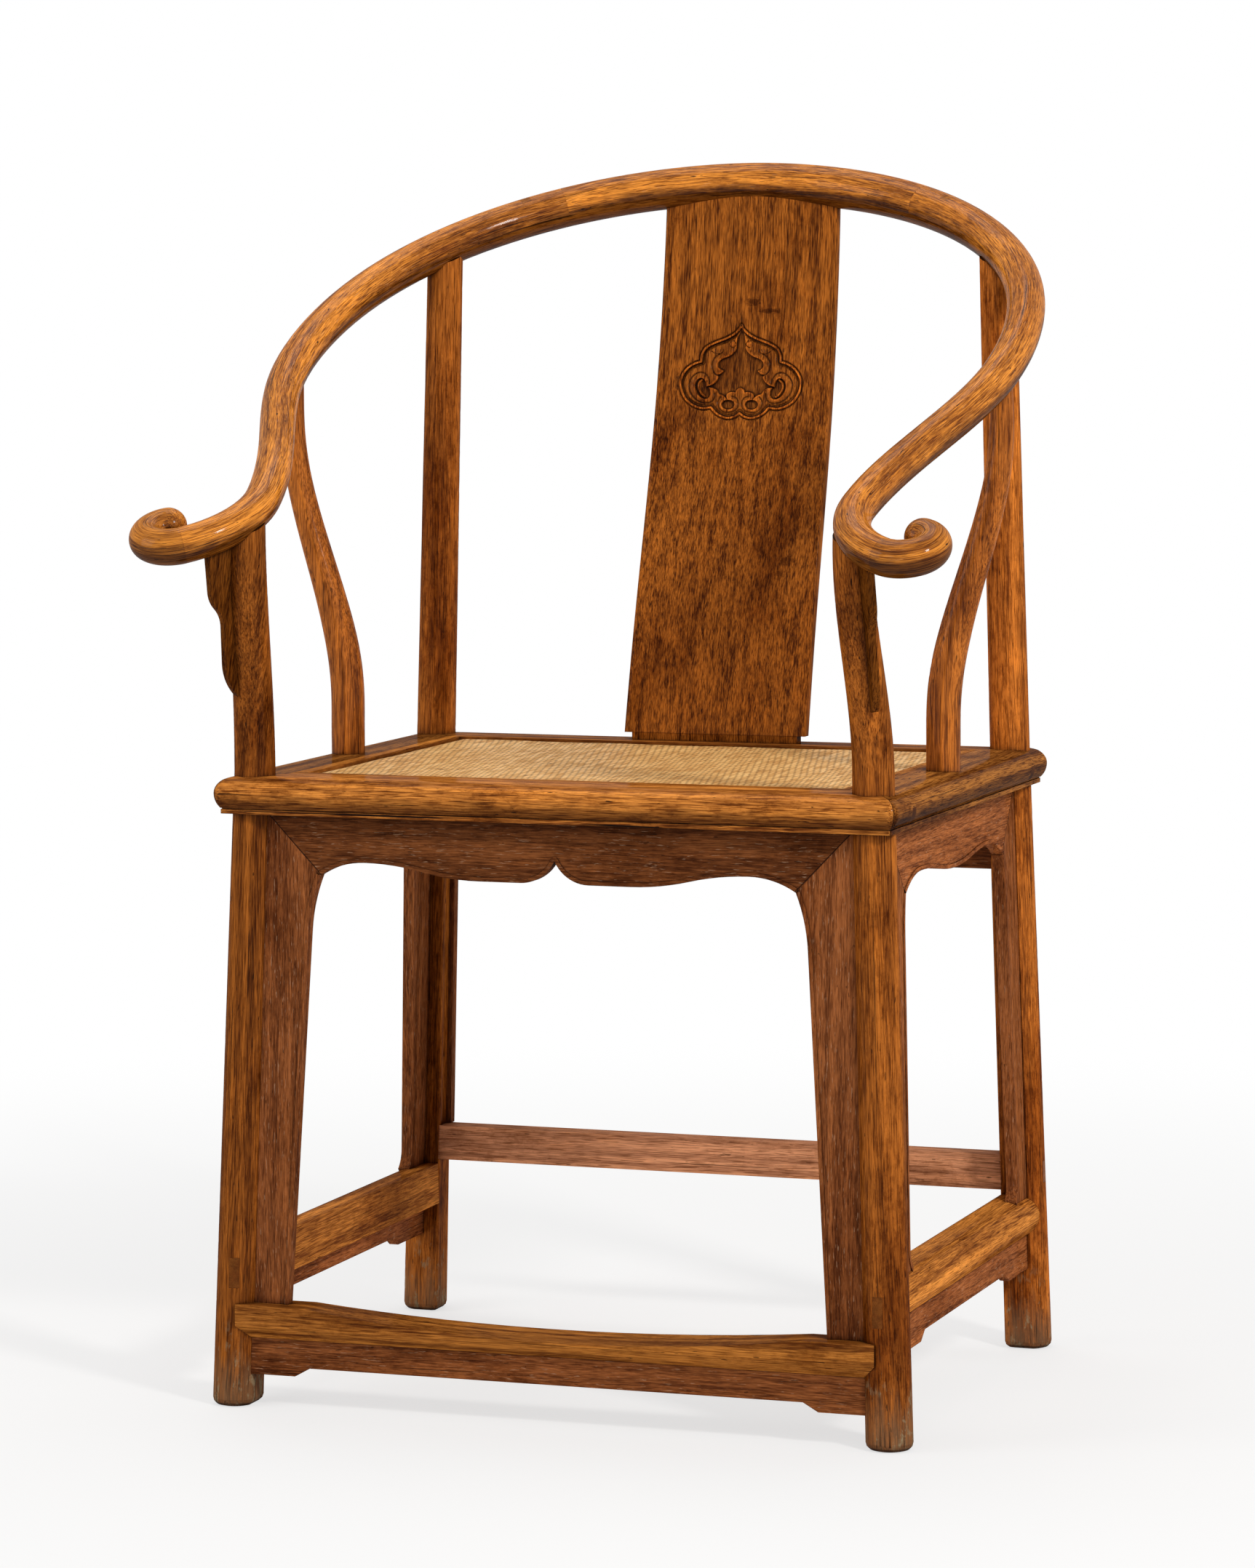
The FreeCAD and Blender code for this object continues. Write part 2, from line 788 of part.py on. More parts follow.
def frame_face(place):
    """Section of a seat member: rounded edge, fine groove and lip outside, rebate inside."""
    top = seat_height
    widest = seat_height - seat_round_drop
    under = seat_height - seat_groove_drop
    lip = under - seat_groove_height
    ledge = seat_height - seat_rebate_depth
    groove_inset = seat_under_inset + seat_groove_depth
    rebate = seat_member_width - seat_rebate_width
    outer = (0, widest)
    turn_in = (seat_under_inset, under)
    top_out = (seat_round_inset, top)
    pull = 4 * (math.sqrt(2) - 1) / 3
    curve = Part.BezierCurve()
    curve.setPoles([
        place(*top_out),
        place(seat_round_inset * (1 - pull), top),
        place(0, widest + seat_round_drop * pull),
        place(*outer),
    ])
    edges = [curve.toShape(), tangent_arc(place, outer, (0, -1), turn_in)]
    edges += chain(place, [
        turn_in,
        (groove_inset, under),
        (groove_inset, lip),
        (seat_lip_inset, lip),
        (seat_lip_inset, frame_bottom),
        (seat_member_width, frame_bottom),
        (seat_member_width, ledge),
        (rebate, ledge),
        (rebate, top),
        top_out,
    ])
    return outline_face(edges)


def frame_blank(half_length, half_across):
    """A seat member along x with its outer edge to the front, mitred, its corners rounded."""
    corner = half_length - seat_corner_radius

    def place(inset, height):
        return point(corner, inset - half_across, height)

    section = frame_face(place)
    inward = seat_member_width + overrun
    trapezoid = Part.makePolygon([
        point(-half_length, -half_across, frame_bottom),
        point(half_length, -half_across, frame_bottom),
        point(half_length - inward, inward - half_across, frame_bottom),
        point(inward - half_length, inward - half_across, frame_bottom),
        point(-half_length, -half_across, frame_bottom),
    ])
    keep = Part.Face(trapezoid).extrude(up * seat_frame_thickness)
    body = section.extrude(point(seat_corner_radius, 0, 0))
    body = body.fuse(section.extrude(point(-2 * corner - seat_corner_radius, 0, 0)))
    body = body.common(keep)
    edge_y = seat_corner_radius - half_across
    square = block(corner, half_length, -half_across, edge_y, frame_bottom, seat_height)
    body = body.cut(square).cut(mirrored_across(square))
    strip = block(corner - overrun, corner + overrun, -half_across, edge_y, frame_bottom, seat_height)
    wedge = section.common(strip).Faces[0].revolve(point(corner, edge_y, 0), up, 45)
    return one_solid(body.fuse(wedge).fuse(mirrored_across(wedge)).removeSplitter())


def frame_tenon(side_blank):
    """The through tenon of the front member in the right side member."""
    low_y = seat_member_width - half_depth - seat_tenon_edge_gap - seat_tenon_thickness
    low_z = frame_bottom + seat_tenon_rise
    start = half_width - seat_member_width - seat_tenon_thickness
    bar = block(start, half_width, low_y, low_y + seat_tenon_thickness, low_z, low_z + seat_tenon_height)
    return bar, one_solid(bar.common(side_blank))


def seat_frame():
    """The four mitred members with the mortises for what they carry."""
    front = frame_blank(half_width, half_depth)
    right = frame_blank(half_depth, half_width)
    right.rotate(point(0, 0, 0), up, 90)
    bar, tenon = frame_tenon(right)
    front = front.fuse(tenon).fuse(mirrored_across(tenon))
    right = right.cut(bar).cut(mirrored_along(bar))
    front_hole = mirrored_along(leg_neck(front_post_radius_seat, joint_clearance, overrun))
    rear_hole = leg_neck(rear_post_radius_seat, joint_clearance, overrun)
    rear = mirrored_along(front)
    for hole in (front_hole, mirrored_across(front_hole)):
        front = front.cut(hole)
    for hole in (rear_hole, mirrored_across(rear_hole)):
        rear = rear.cut(hole)
    side_hole = side_post_foot_tenon(joint_clearance, end_clearance)
    right = right.cut(front_hole).cut(rear_hole).cut(side_hole)
    rear = rear.cut(splat_foot_tenon(joint_clearance, end_clearance))
    for socket in brace_tenons(joint_clearance, end_clearance):
        front = front.cut(socket)
        rear = rear.cut(socket)
    return one_solid(front), one_solid(rear), one_solid(right)


# Woven seat


def seat_opening():
    """Half sizes of the opening inside the frame."""
    return half_width - seat_member_width, half_depth - seat_member_width


def seat_mat():
    """The woven mat, thinner where the edge strips press it down."""
    across, along = seat_opening()
    wide = across + seat_rebate_width - seat_mat_gap
    deep = along + seat_rebate_width - seat_mat_gap
    low = seat_height - seat_strip_thickness - seat_mat_edge_thickness
    edge = seat_height - seat_strip_thickness
    rim = block(-wide, wide, -deep, deep, low, edge)
    across -= seat_mat_gap
    along -= seat_mat_gap
    middle = block(-across, across, -along, along, low, seat_height - seat_mat_recess)
    return one_solid(rim.fuse(middle).removeSplitter())


def seat_webbing():
    """The web of palm cord under the mat, resting on the rebate."""
    across, along = seat_opening()
    wide = across + seat_rebate_width - seat_mat_gap
    deep = along + seat_rebate_width - seat_mat_gap
    low = seat_height - seat_rebate_depth
    high = seat_height - seat_strip_thickness - seat_mat_edge_thickness
    return block(-wide, wide, -deep, deep, low, high)


def seat_strips():
    """The four thin strips that hold the mat in the rebate."""
    across, along = seat_opening()
    wide = across + seat_rebate_width
    deep = along + seat_rebate_width
    low = seat_height - seat_strip_thickness
    front = block(-wide, wide, -deep, -along, low, seat_height)
    side = block(across, wide, -along, along, low, seat_height)
    return Part.makeCompound([front, mirrored_along(front), side, mirrored_across(side)])


def brace_tenons(clearance, past_end):
    """The four tenon shapes of the two braces, grown by a clearance."""
    along = seat_opening()[1]
    half = brace_tenon_width / 2 + clearance
    middle = seat_height - seat_rebate_depth - brace_drop_below_webbing - brace_thickness / 2
    tall = brace_tenon_height / 2 + clearance
    length = brace_tenon_length + past_end
    shapes = []
    for side in (-1, 1):
        centre = side * brace_spacing / 2
        rear = block(centre - half, centre + half, along, along + length, middle - tall, middle + tall)
        shapes += [rear, mirrored_along(rear)]
    return shapes


def seat_brace(side):
    """A brace that dips in the middle, so that the woven seat can give."""
    along = seat_opening()[1]
    top = seat_height - seat_rebate_depth - brace_drop_below_webbing
    centre = side * brace_spacing / 2

    def place(way, height):
        return point(centre - brace_width / 2, way, height)

    edges = []
    for height in (top, top - brace_thickness):
        ends = [place(-along, height), place(0, height - brace_dip), place(along, height)]
        edges.append(Part.Arc(*ends).toShape())
    for way in (-along, along):
        edges.append(straight(place, (way, top), (way, top - brace_thickness)))
    body = board(edges, point(brace_width, 0, 0))
    first = 0 if side < 0 else 2
    for tenon in brace_tenons(0, 0)[first:first + 2]:
        body = body.fuse(tenon)
    return one_solid(body)


# Aprons


def leaning_front(face):
    """Outline points on a plane in front of the front legs that leans with them."""

    def place(across, height):
        return point(across, -leg_axis(height).y - face, height)

    return place


def leaning_side(face):
    """Outline points on a plane outside the right legs that leans with them."""

    def place(along, height):
        return point(leg_axis(height).x + face, along, height)

    return place


def front_apron_edges(place):
    """Lower edge of the front apron's right half, from the cusp to the mitre's tip."""
    tip_height = frame_bottom - front_mitre_drop
    tip = (leg_inner_x(tip_height) - front_mitre_reach, tip_height)
    first, second, third = [tip[0] * share for share in front_apron_shares]
    dip = frame_bottom - front_apron_dip_drop
    cusp = (0, frame_bottom - front_apron_cusp_drop)
    arch = (third, frame_bottom - front_apron_arch_drop)
    edges = [tangent_arc(place, (first, dip), (-1, 0), cusp)]
    edges.append(straight(place, (first, dip), (second, dip)))
    edges += double_curve(place, (second, dip), (1, 0), arch)
    edges.append(tangent_arc(place, arch, (1, 0), tip))
    return edges, tip


def front_apron():
    """The front apron with its pointed middle and curved lower edge."""
    place = leaning_front(front_apron_face)
    corner = (leg_inner_x(frame_bottom), frame_bottom)

    def mirrored_place(across, height):
        return place(-across, height)

    edges = [straight(place, corner, (-corner[0], frame_bottom))]
    shaped = []
    for side in (place, mirrored_place):
        lower, tip = front_apron_edges(side)
        shaped += lower
        edges.append(straight(side, tip, corner))
    return beaded_board(edges + shaped, shaped, point(0, 1, 0))


def front_flange(foot_rail):
    """The board down the right front leg, mitred to the front apron."""
    place = leaning_front(front_apron_face)
    tip = front_apron_edges(place)[1]
    foot = foot_rail_top - foot_rail_thickness / 2
    curve = tip[1] - front_flange_curve_drop
    curve_end = (leg_inner_x(curve) - front_flange_width_head, curve)
    inner_foot = (leg_inner_x(foot) - front_flange_width_foot, foot)
    lean = (curve_end[0] - inner_foot[0], curve_end[1] - inner_foot[1])
    shaped = [tangent_arc(place, curve_end, lean, tip), straight(place, curve_end, inner_foot)]
    edges = chain(place, [
        inner_foot,
        (leg_inner_x(foot) + groove_depth, foot),
        (leg_inner_x(frame_bottom) + groove_depth, frame_bottom),
        (leg_inner_x(frame_bottom), frame_bottom),
        tip,
    ])
    body = beaded_board(edges + shaped, shaped, point(0, 1, 0)).cut(foot_rail)
    return max(body.Solids, key=lambda solid: solid.Volume)


def side_apron_edges(place):
    """Lower edge of the side apron's rear half, from its middle to the mitre's tip."""
    tip_height = frame_bottom - side_mitre_drop
    tip = (leg_inner_y(tip_height) - side_mitre_reach, tip_height)
    dip = (0, frame_bottom - side_apron_dip_drop)
    arch = (tip[0] * side_apron_arch_share, frame_bottom - side_apron_arch_drop)
    edges = double_curve(place, dip, (1, 0), arch)
    edges.append(tangent_arc(place, arch, (1, 0), tip))
    return edges, tip


def side_apron():
    """The right side apron with its curved lower edge."""
    place = leaning_side(side_apron_face)
    corner = (leg_inner_y(frame_bottom), frame_bottom)

    def mirrored_place(along, height):
        return place(-along, height)

    edges = [straight(place, corner, (-corner[0], frame_bottom))]
    shaped = []
    for side in (place, mirrored_place):
        lower, tip = side_apron_edges(side)
        shaped += lower
        edges.append(straight(side, tip, corner))
    return beaded_board(edges + shaped, shaped, point(-1, 0, 0))


def side_flange(stretcher):
    """The board down the right rear leg, mitred to the side apron, with a flared foot."""
    place = leaning_side(side_apron_face)
    tip = side_apron_edges(place)[1]
    foot = side_stretcher_top - side_stretcher_thickness / 2
    curve = tip[1] - side_flange_curve_drop
    curve_end = (leg_inner_y(curve) - side_flange_width_head, curve)
    flare_top = side_stretcher_top + side_flange_flare_height
    flare_start = (leg_inner_y(flare_top) - side_flange_width_foot, flare_top)
    flare_end = (flare_start[0] - side_flange_flare, side_stretcher_top)
    lean = (curve_end[0] - flare_start[0], curve_end[1] - flare_start[1])
    down = (-lean[0], -lean[1])
    shaped = [tangent_arc(place, curve_end, lean, tip), straight(place, curve_end, flare_start)]
    shaped.append(tangent_arc(place, flare_start, down, flare_end))
    edges = chain(place, [
        flare_end,
        (flare_end[0], foot),
        (leg_inner_y(foot) + groove_depth, foot),
        (leg_inner_y(frame_bottom) + groove_depth, frame_bottom),
        (leg_inner_y(frame_bottom), frame_bottom),
        tip,
    ])
    body = beaded_board(edges + shaped, shaped, point(-1, 0, 0)).cut(stretcher)
    return max(body.Solids, key=lambda solid: solid.Volume)


def rear_apron():
    """The plain rear apron, let into both rear legs."""

    def place(across, height):
        return point(across, leg_axis(height).y + rear_apron_face, height)

    low = frame_bottom - rear_apron_drop
    corners = [
        (leg_inner_x(low) + groove_depth, low),
        (leg_inner_x(frame_bottom) + groove_depth, frame_bottom),
    ]
    twins = [(-across, height) for across, height in reversed(corners)]
    outline = corners + twins + [corners[0]]
    return board(chain(place, outline), point(0, -apron_thickness, 0))


def rear_flange():
    """The narrow board down the right rear leg, from the rear apron to the stretcher."""

    def place(across, height):
        return point(across, leg_axis(height).y + rear_apron_face, height)

    high = frame_bottom - rear_apron_drop
    low = rear_stretcher_top
    outline = [
        (leg_inner_x(low) - rear_flange_width, low),
        (leg_inner_x(low) + groove_depth, low),
        (leg_inner_x(high) + groove_depth, high),
        (leg_inner_x(high) - rear_flange_width, high),
        (leg_inner_x(low) - rear_flange_width, low),
    ]
    return board(chain(place, outline), point(0, -apron_thickness, 0))


# Foot rail and stretchers


def foot_rail_tenon(clearance, past_end):
    """The blind tenon of the foot rail in the right front leg."""
    middle = foot_rail_top - foot_rail_thickness / 2
    tall = foot_rail_tenon_height / 2 + clearance
    half = foot_rail_tenon_thickness / 2 + clearance
    centre = -leg_axis(middle).y + leg_radius(middle) / 3
    start = leg_inner_x(middle)
    end = start + foot_rail_tenon_length + past_end
    return block(start - overrun, end, centre - half, centre + half, middle - tall, middle + tall)


def foot_rail(front_leg_shape):
    """The foot rail, worn down along its top, its ends fitted round the legs."""
    top = foot_rail_top
    bottom = foot_rail_top - foot_rail_thickness
    front = -leg_axis(top).y - foot_rail_forward
    back = front + foot_rail_depth
    reach = leg_axis(top).x - foot_rail_end_inset
    wear_reach = reach - foot_rail_wear_inset

    def section_place(along, height):
        return point(-reach, along, height)

    outline = chain(section_place, [
        (front, top),
        (front, top - foot_rail_band),
        (front + foot_rail_chamfer, bottom),
        (back, bottom),
        (back, top),
        (front, top),
    ])
    body = board(outline, point(2 * reach, 0, 0))

    def front_place(across, height):
        return point(across, front, height)

    low_band = top - foot_rail_band
    end_cut = board(chain(front_place, [
        (reach, low_band),
        (reach, bottom),
        (reach - foot_rail_end_cut, bottom),
        (reach, low_band),
    ]), point(0, foot_rail_chamfer, 0))
    body = body.cut(end_cut).cut(mirrored_across(end_cut))
    hollows = []
    for along, wear in ((front - overrun, foot_rail_wear_front), (back + overrun, foot_rail_wear_back)):
        left = point(-wear_reach, along, top)
        right = point(wear_reach, along, top)
        arc = Part.Arc(left, point(0, along, top - wear), right).toShape()
        lid = chain(lambda across, height: point(across, along, height), [
            (wear_reach, top),
            (wear_reach, top + overrun),
            (-wear_reach, top + overrun),
            (-wear_reach, top),
        ])
        hollows.append(Part.Wire(Part.__sortEdges__([arc] + lid)))
    body = body.cut(Part.makeLoft(hollows, True, True))
    body = body.cut(front_leg_shape).cut(mirrored_across(front_leg_shape))
    body = max(body.Solids, key=lambda solid: solid.Volume)
    tenon = foot_rail_tenon(0, 0)
    return one_solid(body.fuse(tenon).fuse(mirrored_across(tenon)).removeSplitter())


def stepped_outline(place, top, drops, steps, leg_at):
    """A narrow apron that is deeper at both ends, where it is let into the legs."""
    low = top - drops[0]
    end_low = top - drops[1]
    start, end = [leg_at(top) - step for step in steps]
    right = [
        (start, low),
        (end, end_low),
        (leg_at(end_low) + groove_depth, end_low),
        (leg_at(top) + groove_depth, top),
    ]
    left = [(-way, height) for way, height in reversed(right)]
    return chain(place, right + left + [right[0]])


def foot_apron():
    """The narrow apron under the foot rail, let into both front legs."""
    top = foot_rail_top - foot_rail_thickness
    drops = (foot_apron_drop, foot_apron_end_drop)
    steps = (foot_apron_end_length, foot_apron_end_flat_length)
    outline = stepped_outline(leaning_front(foot_apron_face), top, drops, steps, leg_inner_x)
    return board(outline, point(0, foot_apron_thickness, 0))


def side_stretcher_tenons(clearance):
    """The through tenons of the right side stretcher in its two legs, as one long bar."""
    middle = side_stretcher_top - side_stretcher_thickness / 2 - side_stretcher_tenon_lower
    tall = side_stretcher_tenon_height / 2 + clearance
    half = side_stretcher_tenon_width / 2 + clearance
    centre = leg_axis(middle).x - side_stretcher_tenon_shift
    reach = leg_axis(0).y + leg_radius_foot
    return block(centre - half, centre + half, -reach, reach, middle - tall, middle + tall)


def side_stretcher(rear_leg_shape, front_leg_shape):
    """The right side stretcher: flat inside, rounded outside, tenoned through both legs."""
    middle = side_stretcher_top - side_stretcher_thickness / 2
    centre = leg_axis(middle).x
    reach = leg_axis(middle).y
    bottom = side_stretcher_top - side_stretcher_thickness
    outer = centre + side_stretcher_outer
    flat = centre - side_stretcher_flat_outer
    inner = leg_inner_x(bottom)

    def place(across, height):
        return point(across, -reach, height)

    top = side_stretcher_top
    edges = chain(place, [(flat, top), (inner, top), (inner, bottom), (flat, bottom)])
    edges.append(Part.Arc(place(flat, top), place(outer, middle), place(flat, bottom)).toShape())
    body = board(edges, point(0, 2 * reach, 0))
    tenons = side_stretcher_tenons(0)
    ends = tenons.common(rear_leg_shape).fuse(tenons.common(front_leg_shape))
    body = body.cut(rear_leg_shape).cut(front_leg_shape)
    body = max(body.Solids, key=lambda solid: solid.Volume)
    return one_solid(body.fuse(ends).removeSplitter())


def side_stretcher_apron(stretcher):
    """The narrow apron under the right side stretcher, fitted to its rounded underside."""
    covered = side_stretcher_thickness / 2
    top = side_stretcher_top - covered
    drops = (covered + side_stretcher_apron_drop, covered + side_stretcher_apron_end_drop)
    steps = (side_stretcher_apron_end_length, side_stretcher_apron_end_flat_length)
    outline = stepped_outline(leaning_side(side_stretcher_apron_face), top, drops, steps, leg_inner_y)
    body = board(outline, point(-side_stretcher_apron_thickness, 0, 0)).cut(stretcher)
    return max(body.Solids, key=lambda solid: solid.Volume)


def rear_stretcher_tenons(clearance):
    """The through tenons of the rear stretcher, as one long bar."""
    middle = rear_stretcher_top - rear_stretcher_height / 2
    tall = rear_stretcher_tenon_height / 2 + clearance
    half = rear_stretcher_tenon_thickness / 2 + clearance
    centre = leg_axis(middle).y
    reach = leg_axis(0).x + leg_radius_foot
    return block(-reach, reach, centre - half, centre + half, middle - tall, middle + tall)


def rear_stretcher(rear_leg_shape):
    """The rear stretcher, tenoned through both rear legs."""
    middle = rear_stretcher_top - rear_stretcher_height / 2
    bottom = rear_stretcher_top - rear_stretcher_height
    front = leg_inner_y(bottom)
    reach = leg_axis(middle).x
    body = block(-reach, reach, front, front + rear_stretcher_thickness, bottom, rear_stretcher_top)
    tenons = rear_stretcher_tenons(0)
    left_leg = mirrored_across(rear_leg_shape)
    ends = tenons.common(rear_leg_shape).fuse(tenons.common(left_leg))
    body = body.cut(rear_leg_shape).cut(left_leg)
    body = max(body.Solids, key=lambda solid: solid.Volume)
    return one_solid(body.fuse(ends).removeSplitter())


# Crest rail members


def crest_rail(arm_tube, hook_tube, centre_tube):
    """The centre, right arm and right hook of the rail, and the peg through their lap."""
    peg_block = rail_pin_block()
    peg = one_solid(peg_block.common(rail_tube(rail_joint_start - overrun, rail_joint_end + overrun)))
    upper = rail_prism(rail_joint_start, rail_joint_end + overrun, 1)
    lower = rail_prism(rail_joint_start - overrun, rail_joint_end, -1)
    centre = centre_tube.cut(upper).cut(mirrored_across(upper))
    centre = centre.cut(peg_block).cut(mirrored_across(peg_block))
    centre = centre.cut(splat_head_tenon(joint_clearance, end_clearance))
    arm = arm_tube.cut(lower).cut(peg_block)
    posts = (
        (front_post_station, post_tenon_radius),
        (rear_post_station, post_tenon_radius),
        (side_post_station, side_post_tenon_radius),
    )
    for station, radius in posts:
        arm = arm.cut(post_head_tenon(station, radius, joint_clearance, end_clearance))
    arm = arm.fuse(hook_tenon(0, 0))
    hook = hook_tube.cut(hook_tenon(joint_clearance, end_clearance))
    return one_solid(centre), one_solid(arm), one_solid(hook), peg


def build_chair():
    """Every piece of the chair by its name."""
    centre_tube = rail_tube(-rail_joint_end, rail_joint_end)
    arm_tube = rail_tube(rail_joint_start, rail_hook_start)
    hook_tube = rail_tube(rail_hook_start, rail_length)
    knob_pole = rail_direction(rail_length)
    knob = Part.makeSphere(rail_radius(rail_length), rail_point(rail_length), knob_pole, 0, 90, 360)
    hook_tube = one_solid(hook_tube.fuse(knob))
    pieces = {}

    def pair(name, shape):
        pieces[name + "_right"] = shape
        pieces[name + "_left"] = mirrored_across(shape)

    centre, arm, hook, peg = crest_rail(arm_tube, hook_tube, centre_tube)
    pieces["crest_rail_centre"] = centre
    pair("crest_rail_arm", arm)
    pair("crest_rail_hook", hook)
    pieces["crest_rail_pins"] = Part.makeCompound([peg, mirrored_across(peg)])
    pieces["back_splat"] = back_splat(centre_tube)

    front_member, rear_member, side_member = seat_frame()
    pieces["seat_rail_front"] = front_member
    pieces["seat_rail_rear"] = rear_member
    pair("seat_rail", side_member)
    pieces["seat_mat"] = seat_mat()
    pieces["seat_webbing"] = seat_webbing()
    pieces["seat_edge_strips"] = seat_strips()
    pieces["seat_brace_left"] = seat_brace(-1)
    pieces["seat_brace_right"] = seat_brace(1)

    front = front_leg(arm_tube)
    rear = rear_leg(arm_tube)
    rail = foot_rail(front)
    stretcher = side_stretcher(rear, front)
    back_stretcher = rear_stretcher(rear)
    front_board = front_flange(rail)
    side_board = side_flange(stretcher)
    rear_board = rear_flange()
    rear_top = rear_apron()
    under_rail = foot_apron()
    under_stretcher = side_stretcher_apron(stretcher)
    arm_board = spandrel((arm_tube, hook_tube))
    front_cuts = (
        front_board,
        mirrored_along(side_board),
        under_rail,
        under_stretcher,
        arm_board,
        foot_rail_tenon(joint_clearance, end_clearance),
        side_stretcher_tenons(0),
    )
    for cut in front_cuts:
        front = front.cut(cut)
    rear_cuts = (
        side_board,
        rear_top,
        rear_board,
        under_stretcher,
        side_stretcher_tenons(0),
        rear_stretcher_tenons(0),
    )
    for cut in rear_cuts:
        rear = rear.cut(cut)
    pair("front_leg", one_solid(front))
    pair("rear_leg", one_solid(rear))
    pair("side_post", side_post(arm_tube, side_member))
    pair("arm_spandrel", arm_board)
    pieces["front_apron"] = front_apron()
    pair("front_apron_flange", front_board)
    pair("side_apron", side_apron())
    pair("side_apron_rear_flange", side_board)
    pair("side_apron_front_flange", mirrored_along(side_board))
    pieces["rear_apron"] = rear_top
    pair("rear_apron_flange", rear_board)
    pieces["foot_rail"] = rail
    pieces["foot_rail_apron"] = under_rail
    pair("side_stretcher", stretcher)
    pair("side_stretcher_apron", under_stretcher)
    pieces["rear_stretcher"] = back_stretcher
    return pieces


def centring_shift():
    """Move along y that puts the middle of the whole chair over the origin."""
    count = 2000
    stations = [rail_length * step / count for step in range(count + 1)]
    front = min(rail_point(station).y - rail_radius(station) for station in stations)
    back = rail_point(0).y + rail_radius(0)
    return -(front + back) / 2


shift = centring_shift()
for piece_name, piece_shape in build_chair().items():
    piece_shape.translate(point(0, shift, 0))
    piece_shape.exportStep("parts/" + piece_name + ".step")
print("moved along y by %.3f" % shift)
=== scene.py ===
"""Looks for a horseshoe back armchair in old hardwood, with a carved splat and a woven seat."""

import json
import math

import bpy
import numpy as np
from bpy.props import FloatProperty, FloatVectorProperty, IntProperty, PointerProperty
from mathutils import Matrix, Vector
from mathutils.bvhtree import BVHTree

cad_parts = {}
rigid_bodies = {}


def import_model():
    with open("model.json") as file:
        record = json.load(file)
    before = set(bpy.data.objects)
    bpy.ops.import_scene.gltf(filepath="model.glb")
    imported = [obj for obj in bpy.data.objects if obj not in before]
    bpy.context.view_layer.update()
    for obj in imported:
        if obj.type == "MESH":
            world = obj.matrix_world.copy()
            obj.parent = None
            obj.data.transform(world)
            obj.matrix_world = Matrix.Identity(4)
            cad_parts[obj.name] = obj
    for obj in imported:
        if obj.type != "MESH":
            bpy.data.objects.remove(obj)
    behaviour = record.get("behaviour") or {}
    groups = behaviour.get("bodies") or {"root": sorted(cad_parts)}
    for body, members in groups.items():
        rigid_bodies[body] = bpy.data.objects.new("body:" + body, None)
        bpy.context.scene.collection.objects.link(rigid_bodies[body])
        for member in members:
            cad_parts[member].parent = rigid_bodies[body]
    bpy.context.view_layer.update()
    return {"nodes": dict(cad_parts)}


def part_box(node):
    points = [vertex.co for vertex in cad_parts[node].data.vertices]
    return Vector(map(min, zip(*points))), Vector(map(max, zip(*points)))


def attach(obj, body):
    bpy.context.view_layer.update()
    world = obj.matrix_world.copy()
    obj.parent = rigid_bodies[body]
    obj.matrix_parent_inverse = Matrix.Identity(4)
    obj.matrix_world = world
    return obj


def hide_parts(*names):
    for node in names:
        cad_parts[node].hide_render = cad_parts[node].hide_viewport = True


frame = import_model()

bl_info = {
    "name": "Horseshoe Back Armchair",
    "version": (1, 0, 0),
    "blender": (4, 5, 0),
    "location": "3D View > Sidebar > Armchair",
    "description": "A horseshoe back armchair in old hardwood, with carved splat and woven seat",
    "category": "Object",
}

NODES = frame["nodes"]

# The crest rail lies in one plane that slopes up to the back. These are its arcs, from the
# middle of the back to the curl of the arm: radius in metres and turn in degrees.
RAIL_ARCS = (
    (0.2985, 76.4),
    (0.3572, 34.5),
    (0.6752, -10.8),
    (0.0788, -70.0),
    (0.0250, -65.8),
    (0.0165, -124.0),
)
RAIL_SLOPE = math.radians(25.96)
RAIL_BASE = Vector((0.0, -0.017059, 0.8161))
RAIL_BACK_REACH = 0.34095

# Outline of the splat's carving, right half, from its point down to the middle of its foot,
# in millimetres from the foot and the middle line. Two neighbouring lobes meet in a cusp.
CARVING_OUTLINE = (
    ((0.0, 80.0), (1.2, 77.4), (3.3, 75.0), (7.0, 71.8), (14.0, 68.2), (24.0, 64.4),
     (31.4, 60.2), (34.6, 54.6), (35.2, 48.6)),
    ((35.2, 48.6), (41.6, 46.6), (48.0, 42.2), (52.0, 36.4), (53.4, 30.4), (52.0, 23.4),
     (48.0, 16.4), (41.4, 11.4), (33.4, 9.0), (25.6, 9.8)),
    ((25.6, 9.8), (22.4, 6.2), (17.6, 2.9), (10.8, 0.9), (4.6, 2.0), (0.0, 5.0)),
)
# The sunk ground's right half: from its top between the two heads, down along the head, its
# jaw and the leaf, and back over the leaf and the trefoil of the foot to the middle line.
CARVING_GROUND = (
    ((0.0, 75.4), (2.4, 71.4), (3.6, 67.0), (3.9, 63.0), (4.2, 59.8), (6.2, 56.4), (10.7, 53.1),
     (16.2, 51.0), (19.6, 48.2), (20.0, 44.8), (17.8, 42.4), (14.7, 41.0)),
    ((14.7, 41.0), (17.5, 38.3), (20.2, 37.4)),
    ((20.2, 37.4), (19.6, 35.2), (21.6, 31.6), (25.4, 28.7), (30.2, 27.2)),
    ((30.2, 27.2), (27.6, 26.8), (24.6, 26.6)),
    ((24.6, 26.6), (20.9, 24.6), (18.9, 21.4), (16.0, 20.6), (12.9, 18.4), (11.2, 16.4)),
    ((11.2, 16.4), (12.2, 18.8), (11.6, 21.4), (9.8, 22.6), (6.9, 23.2), (4.2, 22.7)),
    ((4.2, 22.7), (3.0, 25.2), (0.0, 26.9)),
)
